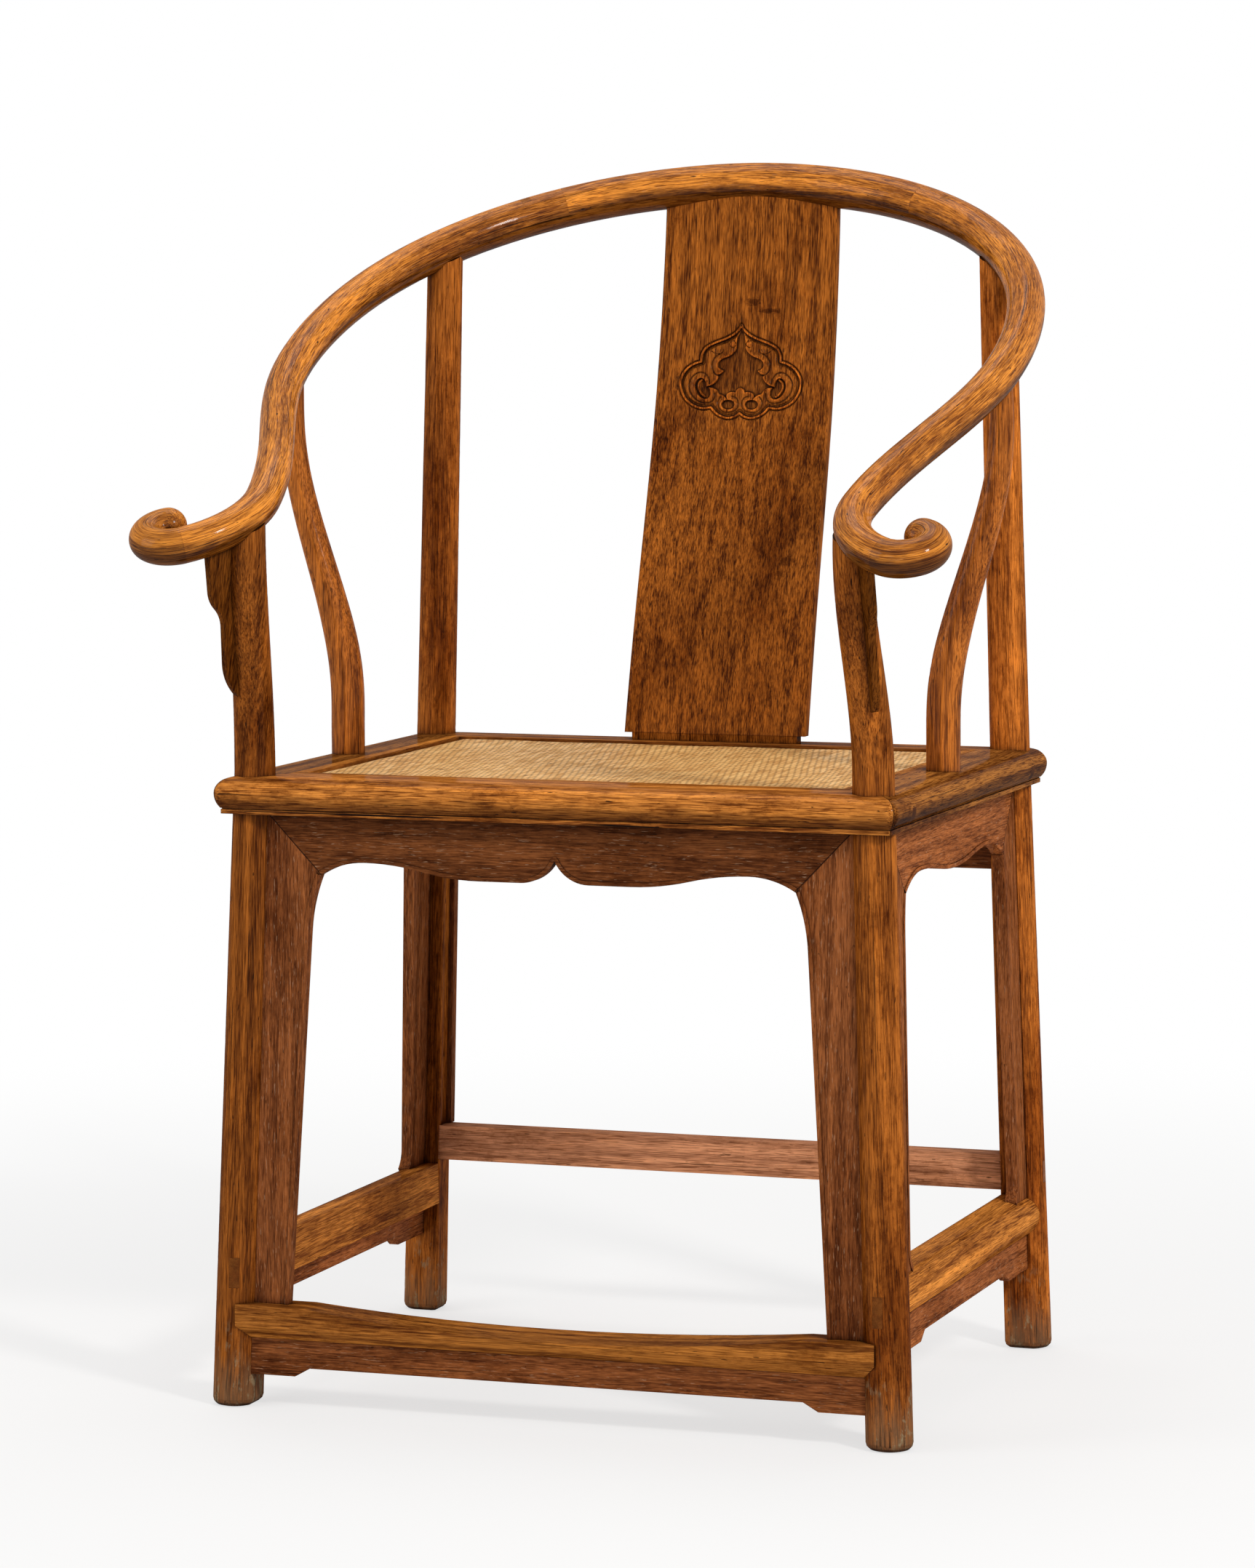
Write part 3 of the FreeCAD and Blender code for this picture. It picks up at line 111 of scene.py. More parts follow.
# The eye inside the scroll, sunk as deep as the ground, and the eye of the trefoil's ring.
CARVING_SCROLL_EYE = (
    (30.2, 27.2), (30.6, 30.6), (33.4, 34.2), (37.4, 33.8), (40.0, 29.6), (39.4, 24.0),
    (35.6, 18.8), (30.6, 17.0), (27.0, 19.2), (26.6, 23.4), (28.2, 26.2), (30.2, 27.2),
)
CARVING_RING_EYE = (
    (10.4, 16.0), (14.4, 15.0), (16.0, 12.2), (14.4, 9.4), (10.4, 8.2), (6.4, 9.4), (4.8, 12.2),
    (6.4, 15.0), (10.4, 16.0),
)
# Lines cut into the raised parts: half width and depth, and the points that each runs through.
CARVING_LINES = (
    (0.75, 1.0, ((27.4, 29.6), (28.2, 34.0), (32.0, 38.6), (37.8, 39.2), (43.2, 35.4),
                 (46.0, 29.2), (44.4, 22.4), (39.6, 16.6), (33.2, 13.6), (26.6, 14.0),
                 (22.8, 17.6), (22.4, 21.6))),
    (0.75, 1.1, ((19.4, 55.2), (23.6, 52.0), (25.6, 47.4), (25.2, 42.0), (23.0, 38.4),
                 (20.0, 37.0))),
    (0.65, 0.9, ((17.2, 18.8), (19.6, 14.6), (18.6, 9.6), (14.6, 6.0), (9.6, 5.4), (4.6, 6.8),
                 (1.8, 10.4), (1.8, 14.6), (3.8, 18.0), (7.4, 19.2))),
    (0.45, 0.7, ((15.8, 59.2), (16.4, 56.8), (19.4, 55.2), (23.0, 55.8), (26.2, 57.6))),
    (0.40, 0.6, ((18.2, 59.0), (18.6, 57.0))),
    (0.40, 0.6, ((20.6, 59.0), (20.8, 56.6))),
    (0.40, 0.6, ((23.0, 59.4), (22.8, 57.2))),
)
# The balls before the heads and the crescents in the scroll's eyes: radius, height of the rim
# and of the crown over the face, and the run.
CARVING_BALL = (3.0, -1.5, 0.25, ((7.3, 63.8), (7.4, 63.7)))
CARVING_CRESCENT = (
    1.15, -2.7, -0.7, ((34.2, 33.2), (37.0, 30.4), (37.0, 25.6), (34.6, 21.4), (31.6, 18.8)),
)
# The room that the carving takes: half its width, and its lowest and highest place.
CARVING_REACH, CARVING_LOW, CARVING_HIGH = 57, -4, 95

# Dark marks of age on the splat's face: place and half size in millimetres, measured from the
# middle line and from the top of the seat, and how dark each one is.
SPLAT_MARKS = (
    (4.9, 365.6, 7.0, 3.4, 0.75),
    (20.0, 357.9, 11.0, 2.4, 0.80),
    (52.0, 150.0, 7.0, 4.0, 0.70),
    (46.0, 139.0, 5.0, 2.4, 0.65),
    (45.0, 38.0, 3.0, 11.0, 0.55),
    (-30.0, 240.0, 16.0, 22.0, 0.22),
    (-24.0, 330.0, 13.0, 9.0, 0.20),
)

# The board of the splat, in metres: heights of the seat's top, of the shoulder over the seat, of
# its top end inside the rail and of the last spot that its own face shows, and half its widths.
SEAT_TOP = 0.500
SPLAT_SHOULDER = 0.506
SPLAT_TOP = 0.9575
SPLAT_FACE_TOP = 0.940
SPLAT_TOP_HALF_WIDTH = 0.0757
SPLAT_NECK_HALF_WIDTH = 0.0725
SPLAT_CARVED_HALF_WIDTH = 0.0575
SPLAT_EDGE_ROUND = 0.0011

# How many points the mesh of the woven mat has from left to right and from front to rear.
MAT_COLUMNS, MAT_ROWS = 93, 73

# Directions across the mitres between the aprons and the boards that run down the legs.
FRONT_APRON_MITRE = (0.7204, 0.0, -0.6935)
SIDE_APRON_MITRE = (0.0, 0.7809, -0.6247)

# The photograph's camera: where it stands, and how far it turns, looks down and rolls in degrees.
CAMERA_PLACE = (1.41275, -4.183431, 0.905457)
CAMERA_ANGLES = (18.8789, 5.50286, -0.12781)


# Settings that a user would change


class WoodFinish(bpy.types.PropertyGroup):
    """Colours and surface of the hardwood."""

    rail_light: FloatVectorProperty(
        name="Rail light", description="Light grain of the crest rail", subtype="COLOR",
        min=0.0, max=1.0, default=(0.95, 0.345, 0.046))
    rail_dark: FloatVectorProperty(
        name="Rail dark", description="Dark grain of the crest rail", subtype="COLOR",
        min=0.0, max=1.0, default=(0.25, 0.070, 0.010))
    leg_light: FloatVectorProperty(
        name="Leg light", description="Light grain of the legs and posts", subtype="COLOR",
        min=0.0, max=1.0, default=(0.50, 0.152, 0.022))
    leg_dark: FloatVectorProperty(
        name="Leg dark", description="Dark grain of the legs and posts", subtype="COLOR",
        min=0.0, max=1.0, default=(0.125, 0.032, 0.006))
    splat_light: FloatVectorProperty(
        name="Splat light", description="Light grain of the back splat", subtype="COLOR",
        min=0.0, max=1.0, default=(0.52, 0.158, 0.020))
    splat_dark: FloatVectorProperty(
        name="Splat dark", description="Dark grain of the back splat", subtype="COLOR",
        min=0.0, max=1.0, default=(0.085, 0.020, 0.004))
    apron_light: FloatVectorProperty(
        name="Apron light", description="Light grain of the aprons", subtype="COLOR",
        min=0.0, max=1.0, default=(0.38, 0.125, 0.038))
    apron_dark: FloatVectorProperty(
        name="Apron dark", description="Dark grain of the aprons", subtype="COLOR",
        min=0.0, max=1.0, default=(0.120, 0.034, 0.011))
    seat_light: FloatVectorProperty(
        name="Seat frame light", description="Light grain of the seat frame", subtype="COLOR",
        min=0.0, max=1.0, default=(0.80, 0.30, 0.055))
    seat_dark: FloatVectorProperty(
        name="Seat frame dark", description="Dark grain of the seat frame", subtype="COLOR",
        min=0.0, max=1.0, default=(0.20, 0.056, 0.011))
    rear_stretcher_light: FloatVectorProperty(
        name="Rear stretcher light", description="Light grain of the pale rear stretcher",
        subtype="COLOR", min=0.0, max=1.0, default=(0.95, 0.43, 0.22))
    rear_stretcher_dark: FloatVectorProperty(
        name="Rear stretcher dark", description="Dark grain of the pale rear stretcher",
        subtype="COLOR", min=0.0, max=1.0, default=(0.42, 0.17, 0.085))
    # This dark colour is used for soiling, cracks and pores, and also as painted shade in corners,
    # joints and the carving's hollows.
    grime: FloatVectorProperty(
        name="Grime", description="Old wax and dirt in corners and joints", subtype="COLOR",
        min=0.0, max=1.0, default=(0.012, 0.005, 0.003))
    edge_round: FloatProperty(
        name="Edge rounding", description="Radius of the worn edges in the shading",
        subtype="DISTANCE", unit="LENGTH", min=0.0, max=0.005, default=0.0012)


class SeatWeave(bpy.types.PropertyGroup):
    """Sizes and colours of the woven seat."""

    cane_light: FloatVectorProperty(
        name="Cane light", description="Light strands of the mat", subtype="COLOR",
        min=0.0, max=1.0, default=(0.98, 0.60, 0.23))
    cane_mid: FloatVectorProperty(
        name="Cane mid", description="Aged strands of the mat", subtype="COLOR",
        min=0.0, max=1.0, default=(0.62, 0.30, 0.085))
    # The dark cane colour is also the painted shade in the gaps and dips between strands.
    cane_dark: FloatVectorProperty(
        name="Cane dark", description="Gaps and worn strands of the mat", subtype="COLOR",
        min=0.0, max=1.0, default=(0.16, 0.070, 0.022))
    strand_width: FloatProperty(
        name="Strand width", description="Width of a strand of the mat",
        subtype="DISTANCE", unit="LENGTH", min=0.0005, max=0.01, default=0.0023)
    float_length: FloatProperty(
        name="Float length", description="Length that a strand lies on top before it dips",
        subtype="DISTANCE", unit="LENGTH", min=0.002, max=0.05, default=0.019)
    sag: FloatProperty(
        name="Sag", description="Depth of the hollow that use has left in the mat",
        subtype="DISTANCE", unit="LENGTH", min=0.0, max=0.005, default=0.0016)
    cord_colour: FloatVectorProperty(
        name="Cord colour", description="Palm cord under the mat", subtype="COLOR",
        min=0.0, max=1.0, default=(0.16, 0.085, 0.040))
    cord_diameter: FloatProperty(
        name="Cord diameter", description="Diameter of the palm cord under the mat",
        subtype="DISTANCE", unit="LENGTH", min=0.0005, max=0.004, default=0.0019)
    cord_spacing: FloatProperty(
        name="Cord spacing", description="Distance between the palm cords",
        subtype="DISTANCE", unit="LENGTH", min=0.005, max=0.05, default=0.0145)


class SplatCarving(bpy.types.PropertyGroup):
    """Place and relief of the carving on the back splat."""

    foot_height: FloatProperty(
        name="Foot height", description="Height of the carving's foot over the floor",
        subtype="DISTANCE", unit="LENGTH", min=0.5, max=1.0, default=0.7672)
    shift: FloatProperty(
        name="Shift", description="Distance of the carving from the middle line, to the right",
        subtype="DISTANCE", unit="LENGTH", min=-0.01, max=0.01, default=-0.0015)
    lean: FloatProperty(
        name="Lean", description="How far the carving's middle line moves right for its rise",
        min=-0.2, max=0.2, default=-0.042)
    stretch: FloatProperty(
        name="Stretch", description="Height of the carving against its drawn height",
        min=0.8, max=1.2, default=0.984)
    ground_depth: FloatProperty(
        name="Ground depth", description="Depth of the sunk ground under the splat's face",
        subtype="DISTANCE", unit="LENGTH", min=0.0, max=0.004, default=0.0027)
    bead_radius: FloatProperty(
        name="Bead radius", description="Half the width of the raised bead round the carving",
        subtype="DISTANCE", unit="LENGTH", min=0.0002, max=0.003, default=0.0010)
    step: FloatProperty(
        name="Mesh step", description="Distance between the points of the carved surface",
        subtype="DISTANCE", unit="LENGTH", min=0.0002, max=0.002, default=0.0004)


class Studio(bpy.types.PropertyGroup):
    """Floor, lamps and camera."""

    key_power: FloatProperty(
        name="Key light", description="Power of the key light in watts", unit="POWER",
        min=0.0, max=500.0, default=70.0)
    fill_power: FloatProperty(
        name="Fill light", description="Power of the fill light in watts", unit="POWER",
        min=0.0, max=500.0, default=22.0)
    world_strength: FloatProperty(
        name="World", description="Strength of the even light from all sides",
        min=0.0, max=2.0, default=0.42)
    lens: FloatProperty(
        name="Lens", description="Focal length of the camera in millimetres",
        min=20.0, max=300.0, default=126.123)
    floor_size: IntProperty(
        name="Floor size", description="Side of the floor in metres",
        min=2, max=100, default=40)


# Short ways to build node trees


class Tree:
    """A node tree, with short ways to add nodes and join them."""

    def __init__(self, tree):
        self.tree = tree

    def add(self, kind, sockets=None, **settings):
        """A new node. sockets gives a value or another node's output for each input."""
        node = self.tree.nodes.new(kind)
        for name, value in settings.items():
            setattr(node, name, value)
        for name, value in (sockets or {}).items():
            self.feed(node.inputs[name], value)
        return node

    def feed(self, socket, value):
        """Joins another node's output to an input, or sets the input's own value."""
        if isinstance(value, bpy.types.NodeSocket):
            self.tree.links.new(value, socket)
        elif socket.type == "RGBA" and len(value) == 3:
            socket.default_value = (*value, 1.0)
        else:
            socket.default_value = value

    def maths(self, operation, *values):
        """What an operation makes of numbers."""
        return self.add(
            "ShaderNodeMath", dict(enumerate(values)), operation=operation).outputs[0]

    def times(self, first, second):
        return self.maths("MULTIPLY", first, second)

    def vector(self, operation, *values):
        """What an operation makes of vectors: a vector, or a number where it gives one."""
        node = self.add("ShaderNodeVectorMath", dict(enumerate(values)), operation=operation)
        return node.outputs["Value" if operation in ("DOT_PRODUCT", "LENGTH") else "Vector"]

    def mix(self, share, first, second, blend="MIX"):
        """A mix of two colours."""
        return self.add(
            "ShaderNodeMix", {0: share, 6: first, 7: second}, data_type="RGBA", blend_type=blend,
        ).outputs[2]

    def tint(self, share, colour, tint):
        """A colour that is multiplied by a tint, as far as the share says."""
        return self.mix(share, colour, self.mix(1.0, colour, tint, "MULTIPLY"))

    def choose(self, share, first, second):
        """A mix of two vectors."""
        return self.add(
            "ShaderNodeMix", {0: share, 4: first, 5: second}, data_type="VECTOR").outputs[1]

    def span(self, value, low, high, to_low=0.0, to_high=1.0, smooth=False):
        """A value carried from one range to another, and held inside it."""
        return self.add("ShaderNodeMapRange", {
            "Value": value, "From Min": low, "From Max": high, "To Min": to_low, "To Max": to_high,
        }, interpolation_type="SMOOTHSTEP" if smooth else "LINEAR").outputs[0]

    def noise(self, place, scale, detail=2.0, roughness=0.5, distortion=0.0):
        """Noise on coordinates that are stretched by a scale for each axis."""
        stretched = self.vector("MULTIPLY", place, scale)
        node = self.add("ShaderNodeTexNoise", {
            "Vector": stretched, "Scale": 1.0, "Detail": detail,
            "Roughness": roughness, "Distortion": distortion,
        })
        return node.outputs["Fac"]

    def here(self):
        """Coordinates of each spot of the piece, in metres."""
        return self.add("ShaderNodeTexCoord").outputs["Object"]

    def facing(self):
        """The direction in which each spot of the surface looks."""
        return self.add("ShaderNodeNewGeometry").outputs["Normal"]

    def parts(self, value):
        """The three numbers of a vector."""
        return self.add("ShaderNodeSeparateXYZ", {0: value}).outputs

    def whole(self, across, along, height):
        """A vector of three numbers."""
        return self.add("ShaderNodeCombineXYZ", {0: across, 1: along, 2: height}).outputs[0]


def new_group(name, inputs, outputs):
    """An empty shader node group: its Tree, its input sockets and a function that ends it."""
    tree = bpy.data.node_groups.new(name, "ShaderNodeTree")
    for socket_name, kind, default in inputs:
        socket = tree.interface.new_socket(socket_name, in_out="INPUT", socket_type=kind)
        socket.default_value = default
    for socket_name, kind in outputs:
        tree.interface.new_socket(socket_name, in_out="OUTPUT", socket_type=kind)
    t = Tree(tree)
    given = tree.nodes.new("NodeGroupInput").outputs
    end = tree.nodes.new("NodeGroupOutput")

    def finish(**values):
        for socket_name, value in values.items():
            tree.links.new(value, end.inputs[socket_name])
        return tree

    return t, given, finish


FLOAT, COLOUR, VECTOR = "NodeSocketFloat", "NodeSocketColor", "NodeSocketVector"

# Inputs that several of the groups share: name, kind and default.
PLACE = ("Place", VECTOR, (0, 0, 0))
WOOD_COLOUR = ("Colour", COLOUR, (0.4, 0.2, 0.1, 1))
DARK = ("Dark", COLOUR, (0.1, 0.05, 0.02, 1))
GRIME = ("Grime", COLOUR, (0.02, 0.01, 0.01, 1))


# Shared surface effects


def wood_grain_group():
    """Figure, fibres, pores and patina of old hardwood, on coordinates with x along the grain."""
    t, given, finish = new_group("Old Hardwood Grain", (
        PLACE,
        ("Light", COLOUR, (0.4, 0.2, 0.1, 1)),
        DARK,
        GRIME,
        ("Figure", FLOAT, 0.5),
        ("Pores", FLOAT, 0.5),
        ("Patina", FLOAT, 0.5),
        ("Flecks", FLOAT, 0.0),
        ("Stretch", VECTOR, (1, 1, 1)),
    ), (("Colour", COLOUR), ("Roughness", FLOAT), ("Height", FLOAT)))
    spot = given["Place"]
    place = t.vector("MULTIPLY", spot, given["Stretch"])
    wander = t.times(t.noise(place, (3.0, 12.0, 12.0), 2.0, 0.5), 0.012)
    place = t.vector("ADD", place, t.whole(0.0, wander, wander))
    growth = t.noise(place, (1.1, 21.0, 21.0), 1.0, 0.5, 0.2)
    rings = t.span(t.maths("SINE", t.times(growth, 52.0)), -0.9, 0.9)
    streaks = t.span(t.noise(place, (4.5, 170.0, 170.0), 3.0, 0.62), 0.36, 0.64)
    fibres = t.noise(place, (85.0, 850.0, 850.0), 2.0, 0.62)
    fibre_tone = t.span(fibres, 0.34, 0.66)
    dashes = t.span(t.noise(place, (110.0, 1500.0, 1500.0), 1.0, 0.5), 0.53, 0.62, smooth=True)
    cracks = t.span(t.noise(place, (8.0, 620.0, 620.0), 2.0, 0.55), 0.675, 0.705)
    pits = t.span(t.noise(place, (190.0, 520.0, 520.0), 1.0, 0.5), 0.735, 0.76)
    patches = t.noise(spot, (6.0, 14.0, 14.0), 4.0, 0.62, 0.3)
    wear = t.noise(spot, (14.0, 40.0, 40.0), 3.0, 0.65)
    figure = given["Figure"]
    tone = t.times(rings, figure)
    tone = t.maths("MULTIPLY_ADD", streaks, 0.36, tone)
    tone = t.maths("MULTIPLY_ADD", fibre_tone, 0.64, tone)
    tone = t.maths("DIVIDE", tone, t.maths("ADD", figure, 1.0))
    colour = t.mix(t.span(tone, 0.20, 0.84), given["Light"], given["Dark"])
    stain = t.times(t.span(patches, 0.46, 0.66, smooth=True), given["Patina"])
    colour = t.tint(stain, colour, (0.46, 0.36, 0.26))
    mottle = t.span(t.noise(spot, (110.0, 230.0, 230.0), 4.0, 0.75), 0.48, 0.60)
    mottle = t.times(mottle, t.span(patches, 0.36, 0.56))
    mottle = t.times(mottle, given["Patina"])
    colour = t.tint(t.times(mottle, 0.75), colour, (0.48, 0.38, 0.30))
    rubbed = t.times(t.span(wear, 0.52, 0.72, smooth=True), 0.45)
    colour = t.tint(rubbed, colour, (1.35, 1.30, 1.15))
    dark_pores = t.times(dashes, given["Pores"])
    colour = t.tint(dark_pores, colour, (0.38, 0.30, 0.24))
    flecks = t.span(t.noise(place, (150.0, 900.0, 900.0), 2.0, 0.6), 0.63, 0.70)
    flecks = t.times(flecks, given["Flecks"])
    colour = t.mix(flecks, colour, t.mix(0.5, given["Light"], (0.62, 0.45, 0.30)))
    faults = t.times(t.maths("MAXIMUM", cracks, pits), given["Pores"])
    colour = t.mix(faults, colour, given["Grime"])
    roughness = t.maths("MULTIPLY_ADD", t.span(wear, 0.30, 0.72), -0.14, 0.44)
    roughness = t.maths("MULTIPLY_ADD", faults, 0.30, roughness)
    height = t.maths("MULTIPLY_ADD", fibres, 0.30, t.times(dark_pores, -0.45))
    height = t.maths("MULTIPLY_ADD", faults, -1.0, height)
    return finish(Colour=colour, Roughness=roughness, Height=height)


def edge_wear_group():
    """Normals that round every edge, and a mask of what wear has rubbed."""
    t, given, finish = new_group("Worn Edges", (
        PLACE, ("Radius", FLOAT, 0.001),
    ), (("Mask", FLOAT), ("Normal", VECTOR)))
    rounded = t.add("ShaderNodeBevel", {"Radius": given["Radius"]}, samples=4).outputs[0]
    flat = t.facing()
    turned = t.vector("DOT_PRODUCT", rounded, flat)
    edge = t.span(turned, 0.995, 0.86)
    patchy = t.span(t.noise(given["Place"], (60.0, 90.0, 90.0), 3.0, 0.6), 0.34, 0.62)
    return finish(Mask=t.times(edge, patchy), Normal=rounded)


def joint_grime_and_shade_group():
    """A mask of the soiling that gathers in corners, joints and sunk carving, and of the painted
    shade that falls there.
    """
    t, given, finish = new_group("Joint Grime", (
        PLACE, ("Reach", FLOAT, 0.008),
    ), (("Mask", FLOAT),))
    # Ambient occlusion: spots that nearby surfaces close in get painted shade along with soiling.
    open_sky = t.add("ShaderNodeAmbientOcclusion", {"Distance": given["Reach"]}, samples=6)
    closed = t.span(open_sky.outputs["AO"], 0.80, 0.36)
    patchy = t.span(t.noise(given["Place"], (40.0, 70.0, 70.0), 2.0, 0.6), 0.25, 0.60, 0.55, 1.0)
    return finish(Mask=t.times(closed, patchy))


def end_grain_group():
    """The dark open pores of faces that look along the grain."""
    t, given, finish = new_group("End Grain", (
        PLACE, ("Grain", VECTOR, (0, 0, 1)), WOOD_COLOUR, DARK, GRIME,
    ), (("Colour", COLOUR),))
    along = t.maths("ABSOLUTE", t.vector("DOT_PRODUCT", t.facing(), given["Grain"]))
    share = t.times(t.span(along, 0.66, 0.84), 0.92)
    patchy = t.noise(given["Place"], (0.0, 160.0, 160.0), 3.0, 0.7)
    pores = t.mix(patchy, given["Dark"], given["Grime"])
    return finish(Colour=t.mix(share, given["Colour"], pores))


def worn_foot_group():
    """Pale, chipped and cracked wood near the floor, on coordinates with x along the grain."""
    t, given, finish = new_group("Worn Foot", (
        PLACE, ("Height", FLOAT, 0.0), WOOD_COLOUR, GRIME, ("Roughness", FLOAT, 0.4),
    ), (("Colour", COLOUR), ("Roughness", FLOAT)))
    place, height = given["Place"], given["Height"]
    patchy = t.noise(place, (22.0, 130.0, 130.0), 4.0, 0.65)
    low = t.span(t.maths("MULTIPLY_ADD", patchy, 0.075, height), 0.085, 0.030)
    colour = t.mix(t.times(low, 0.70), given["Colour"], (0.250, 0.150, 0.080))
    chipped = t.span(t.noise(place, (45.0, 90.0, 90.0), 4.0, 0.7), 0.56, 0.64)
    chipped = t.times(chipped, t.span(height, 0.075, 0.015))
    colour = t.mix(t.times(chipped, 0.8), colour, (0.33, 0.26, 0.15))
    cracks = t.span(t.noise(place, (16.0, 420.0, 420.0), 2.0, 0.6), 0.60, 0.66)
    colour = t.mix(t.times(cracks, low), colour, given["Grime"])
    roughness = t.maths("MULTIPLY_ADD", low, 0.30, given["Roughness"])
    return finish(Colour=colour, Roughness=roughness)


def underside_shade_group():
    """Painted shade that darkens faces which look down, as far as the share says."""
    t, given, finish = new_group("Dark Underside", (
        PLACE, WOOD_COLOUR, ("Share", FLOAT, 0.5),
    ), (("Colour", COLOUR),))
    tilt = t.parts(t.facing())[2]
    ragged = t.noise(given["Place"], (30.0, 90.0, 90.0), 3.0, 0.65)
    low = t.span(t.maths("MULTIPLY_ADD", ragged, 0.9, tilt), 0.72, 0.0, smooth=True)
    share = t.times(low, given["Share"])
    # Painted shade: faces that look down are darkened towards a grey brown.
    return finish(Colour=t.tint(share, given["Colour"], (0.17, 0.14, 0.13)))


def frame_mitre_group():
    """Distance past the mitres of a four sided frame, from its middle, towards its sides."""
    t, given, finish = new_group("Frame Mitre", (
        PLACE, ("Half", VECTOR, (0.5, 0.5, 0.0)),
    ), (("Away", FLOAT),))
    past = t.vector("SUBTRACT", t.vector("ABSOLUTE", given["Place"]), given["Half"])
    past_side, past_end = t.parts(past)[:2]
    return finish(Away=t.maths("SUBTRACT", past_side, past_end))


def board_mitre_group():
    """Distance from the mitre of a board, from its middle, alike on both sides of it."""
    t, given, finish = new_group("Board Mitre", (
        PLACE, ("Corner", VECTOR, (0, 0, 0)), ("Across", VECTOR, (1, 0, 0)),
    ), (("Away", FLOAT),))
    offset = t.vector("SUBTRACT", t.vector("ABSOLUTE", given["Place"]), given["Corner"])
    return finish(Away=t.vector("DOT_PRODUCT", offset, given["Across"]))


def joint_line_group():
    """The thin dark line of a joint."""
    t, given, finish = new_group("Joint Line", (
        ("Away", FLOAT, 0.0), WOOD_COLOUR, GRIME,
    ), (("Colour", COLOUR),))
    line = t.times(t.span(t.maths("ABSOLUTE", given["Away"]), 0.0006, 0.0002), 0.9)
    return finish(Colour=t.mix(line, given["Colour"], given["Grime"]))


def rail_path_group(name, first, last):
    """Coordinates along the curved rail, from its arc number first to number last."""
    t, given, finish = new_group(name, (PLACE,), (("Path", VECTOR),))
    spot_here = given["Place"]
    if last:
        across, along, height = t.parts(spot_here)
        spot_here = t.whole(t.maths("ABSOLUTE", across), along, height)
    level = Vector((0.0, math.cos(RAIL_SLOPE), math.sin(RAIL_SLOPE)))
    normal = Vector((0.0, -math.sin(RAIL_SLOPE), math.cos(RAIL_SLOPE)))
    start = Vector((0.0, RAIL_BACK_REACH))
    heading = 0.0
    station = 0.0
    path = None
    for number, (radius, turn) in enumerate(RAIL_ARCS):
        angle = math.radians(turn)
        way = math.copysign(1.0, turn)
        ahead = Vector((math.cos(heading), math.sin(heading)))
        outward = Vector((-ahead.y, ahead.x)) * way
        centre = start - outward * radius
        if first <= number <= last:
            centre_point = RAIL_BASE + Vector((centre.x, 0.0, 0.0)) + level * centre.y
            start_axis = Vector((outward.x, 0.0, 0.0)) + level * outward.y
            turn_axis = Vector((ahead.x, 0.0, 0.0)) + level * ahead.y
            local = t.vector("SUBTRACT", spot_here, tuple(centre_point))
            out = t.vector("DOT_PRODUCT", local, tuple(start_axis))
            forward = t.vector("DOT_PRODUCT", local, tuple(turn_axis))
            arc_angle = t.maths("ARCTAN2", forward, out)
            reach = t.vector("LENGTH", t.whole(out, forward, 0.0))
            new_path = t.whole(
                t.maths("MULTIPLY_ADD", arc_angle, radius, station),
                t.times(t.maths("SUBTRACT", reach, radius), way),
                t.vector("DOT_PRODUCT", local, tuple(normal)),
            )
            past = t.maths("GREATER_THAN", forward, 0.0)
            path = new_path if path is None else t.choose(past, path, new_path)
        start = centre + Matrix.Rotation(-angle, 2) @ (outward * radius)
        heading -= angle
        station += radius * abs(angle)
    if last:
        side = t.times(t.maths("SIGN", across), 0.9)
        path = t.vector("ADD", path, t.whole(side, side, 0.0))
    return finish(Path=path)


def effect(t, name, **values):
    """The outputs of a shared group in a material, with the group built at its first use."""
    makers = {
        "Old Hardwood Grain": wood_grain_group,
        "Worn Edges": edge_wear_group,
        "Joint Grime": joint_grime_and_shade_group,
        "End Grain": end_grain_group,
        "Worn Foot": worn_foot_group,
        "Dark Underside": underside_shade_group,
        "Frame Mitre": frame_mitre_group,
        "Board Mitre": board_mitre_group,
        "Joint Line": joint_line_group,
        "Rail Centre Path": lambda: rail_path_group("Rail Centre Path", 0, 0),
        "Rail Arm Path": lambda: rail_path_group("Rail Arm Path", 0, 3),
        "Rail Hook Path": lambda: rail_path_group("Rail Hook Path", 4, 5),
    }
    group = bpy.data.node_groups.get(name) or makers[name]()
    return t.add("ShaderNodeGroup", values, node_tree=group).outputs


# Materials


def emptied(owner):
    """The Tree of a material or a surround, without its first nodes."""
    owner.use_nodes = True
    owner.node_tree.nodes.clear()
    return Tree(owner.node_tree)


def new_material(name):
    """An empty material: its Tree, and a function that gives it a shader with these inputs."""
    material = bpy.data.materials.new(name)
    t = emptied(material)

    def finish(inputs):
        shader = t.add("ShaderNodeBsdfPrincipled", inputs)
        t.add("ShaderNodeOutputMaterial", {"Surface": shader.outputs[0]})
        return material

    return t, finish


def frame_box(nodes):
    """Half the size and the middle of the box round some nodes."""
    corners = [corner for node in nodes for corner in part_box(node)]
    low = Vector(map(min, zip(*corners)))
    high = Vector(map(max, zip(*corners)))
    return (high - low) / 2, (high + low) / 2


def past_mitre(t, nodes):
    """The frame's own coordinates, and how far a spot lies on the side of its side members."""
    half, middle = frame_box(nodes)
    place = t.vector("SUBTRACT", t.here(), tuple(middle))
    return place, effect(t, "Frame Mitre", Place=place, Half=tuple(half))["Away"]


def frame_place(t, nodes):
    """Coordinates with x along each side of a four sided frame, which its mitres part."""
    place, past = past_mitre(t, nodes)
    across, along, height = t.parts(place)
    return t.choose(t.maths("GREATER_THAN", past, 0.0), place, t.whole(along, across, height))


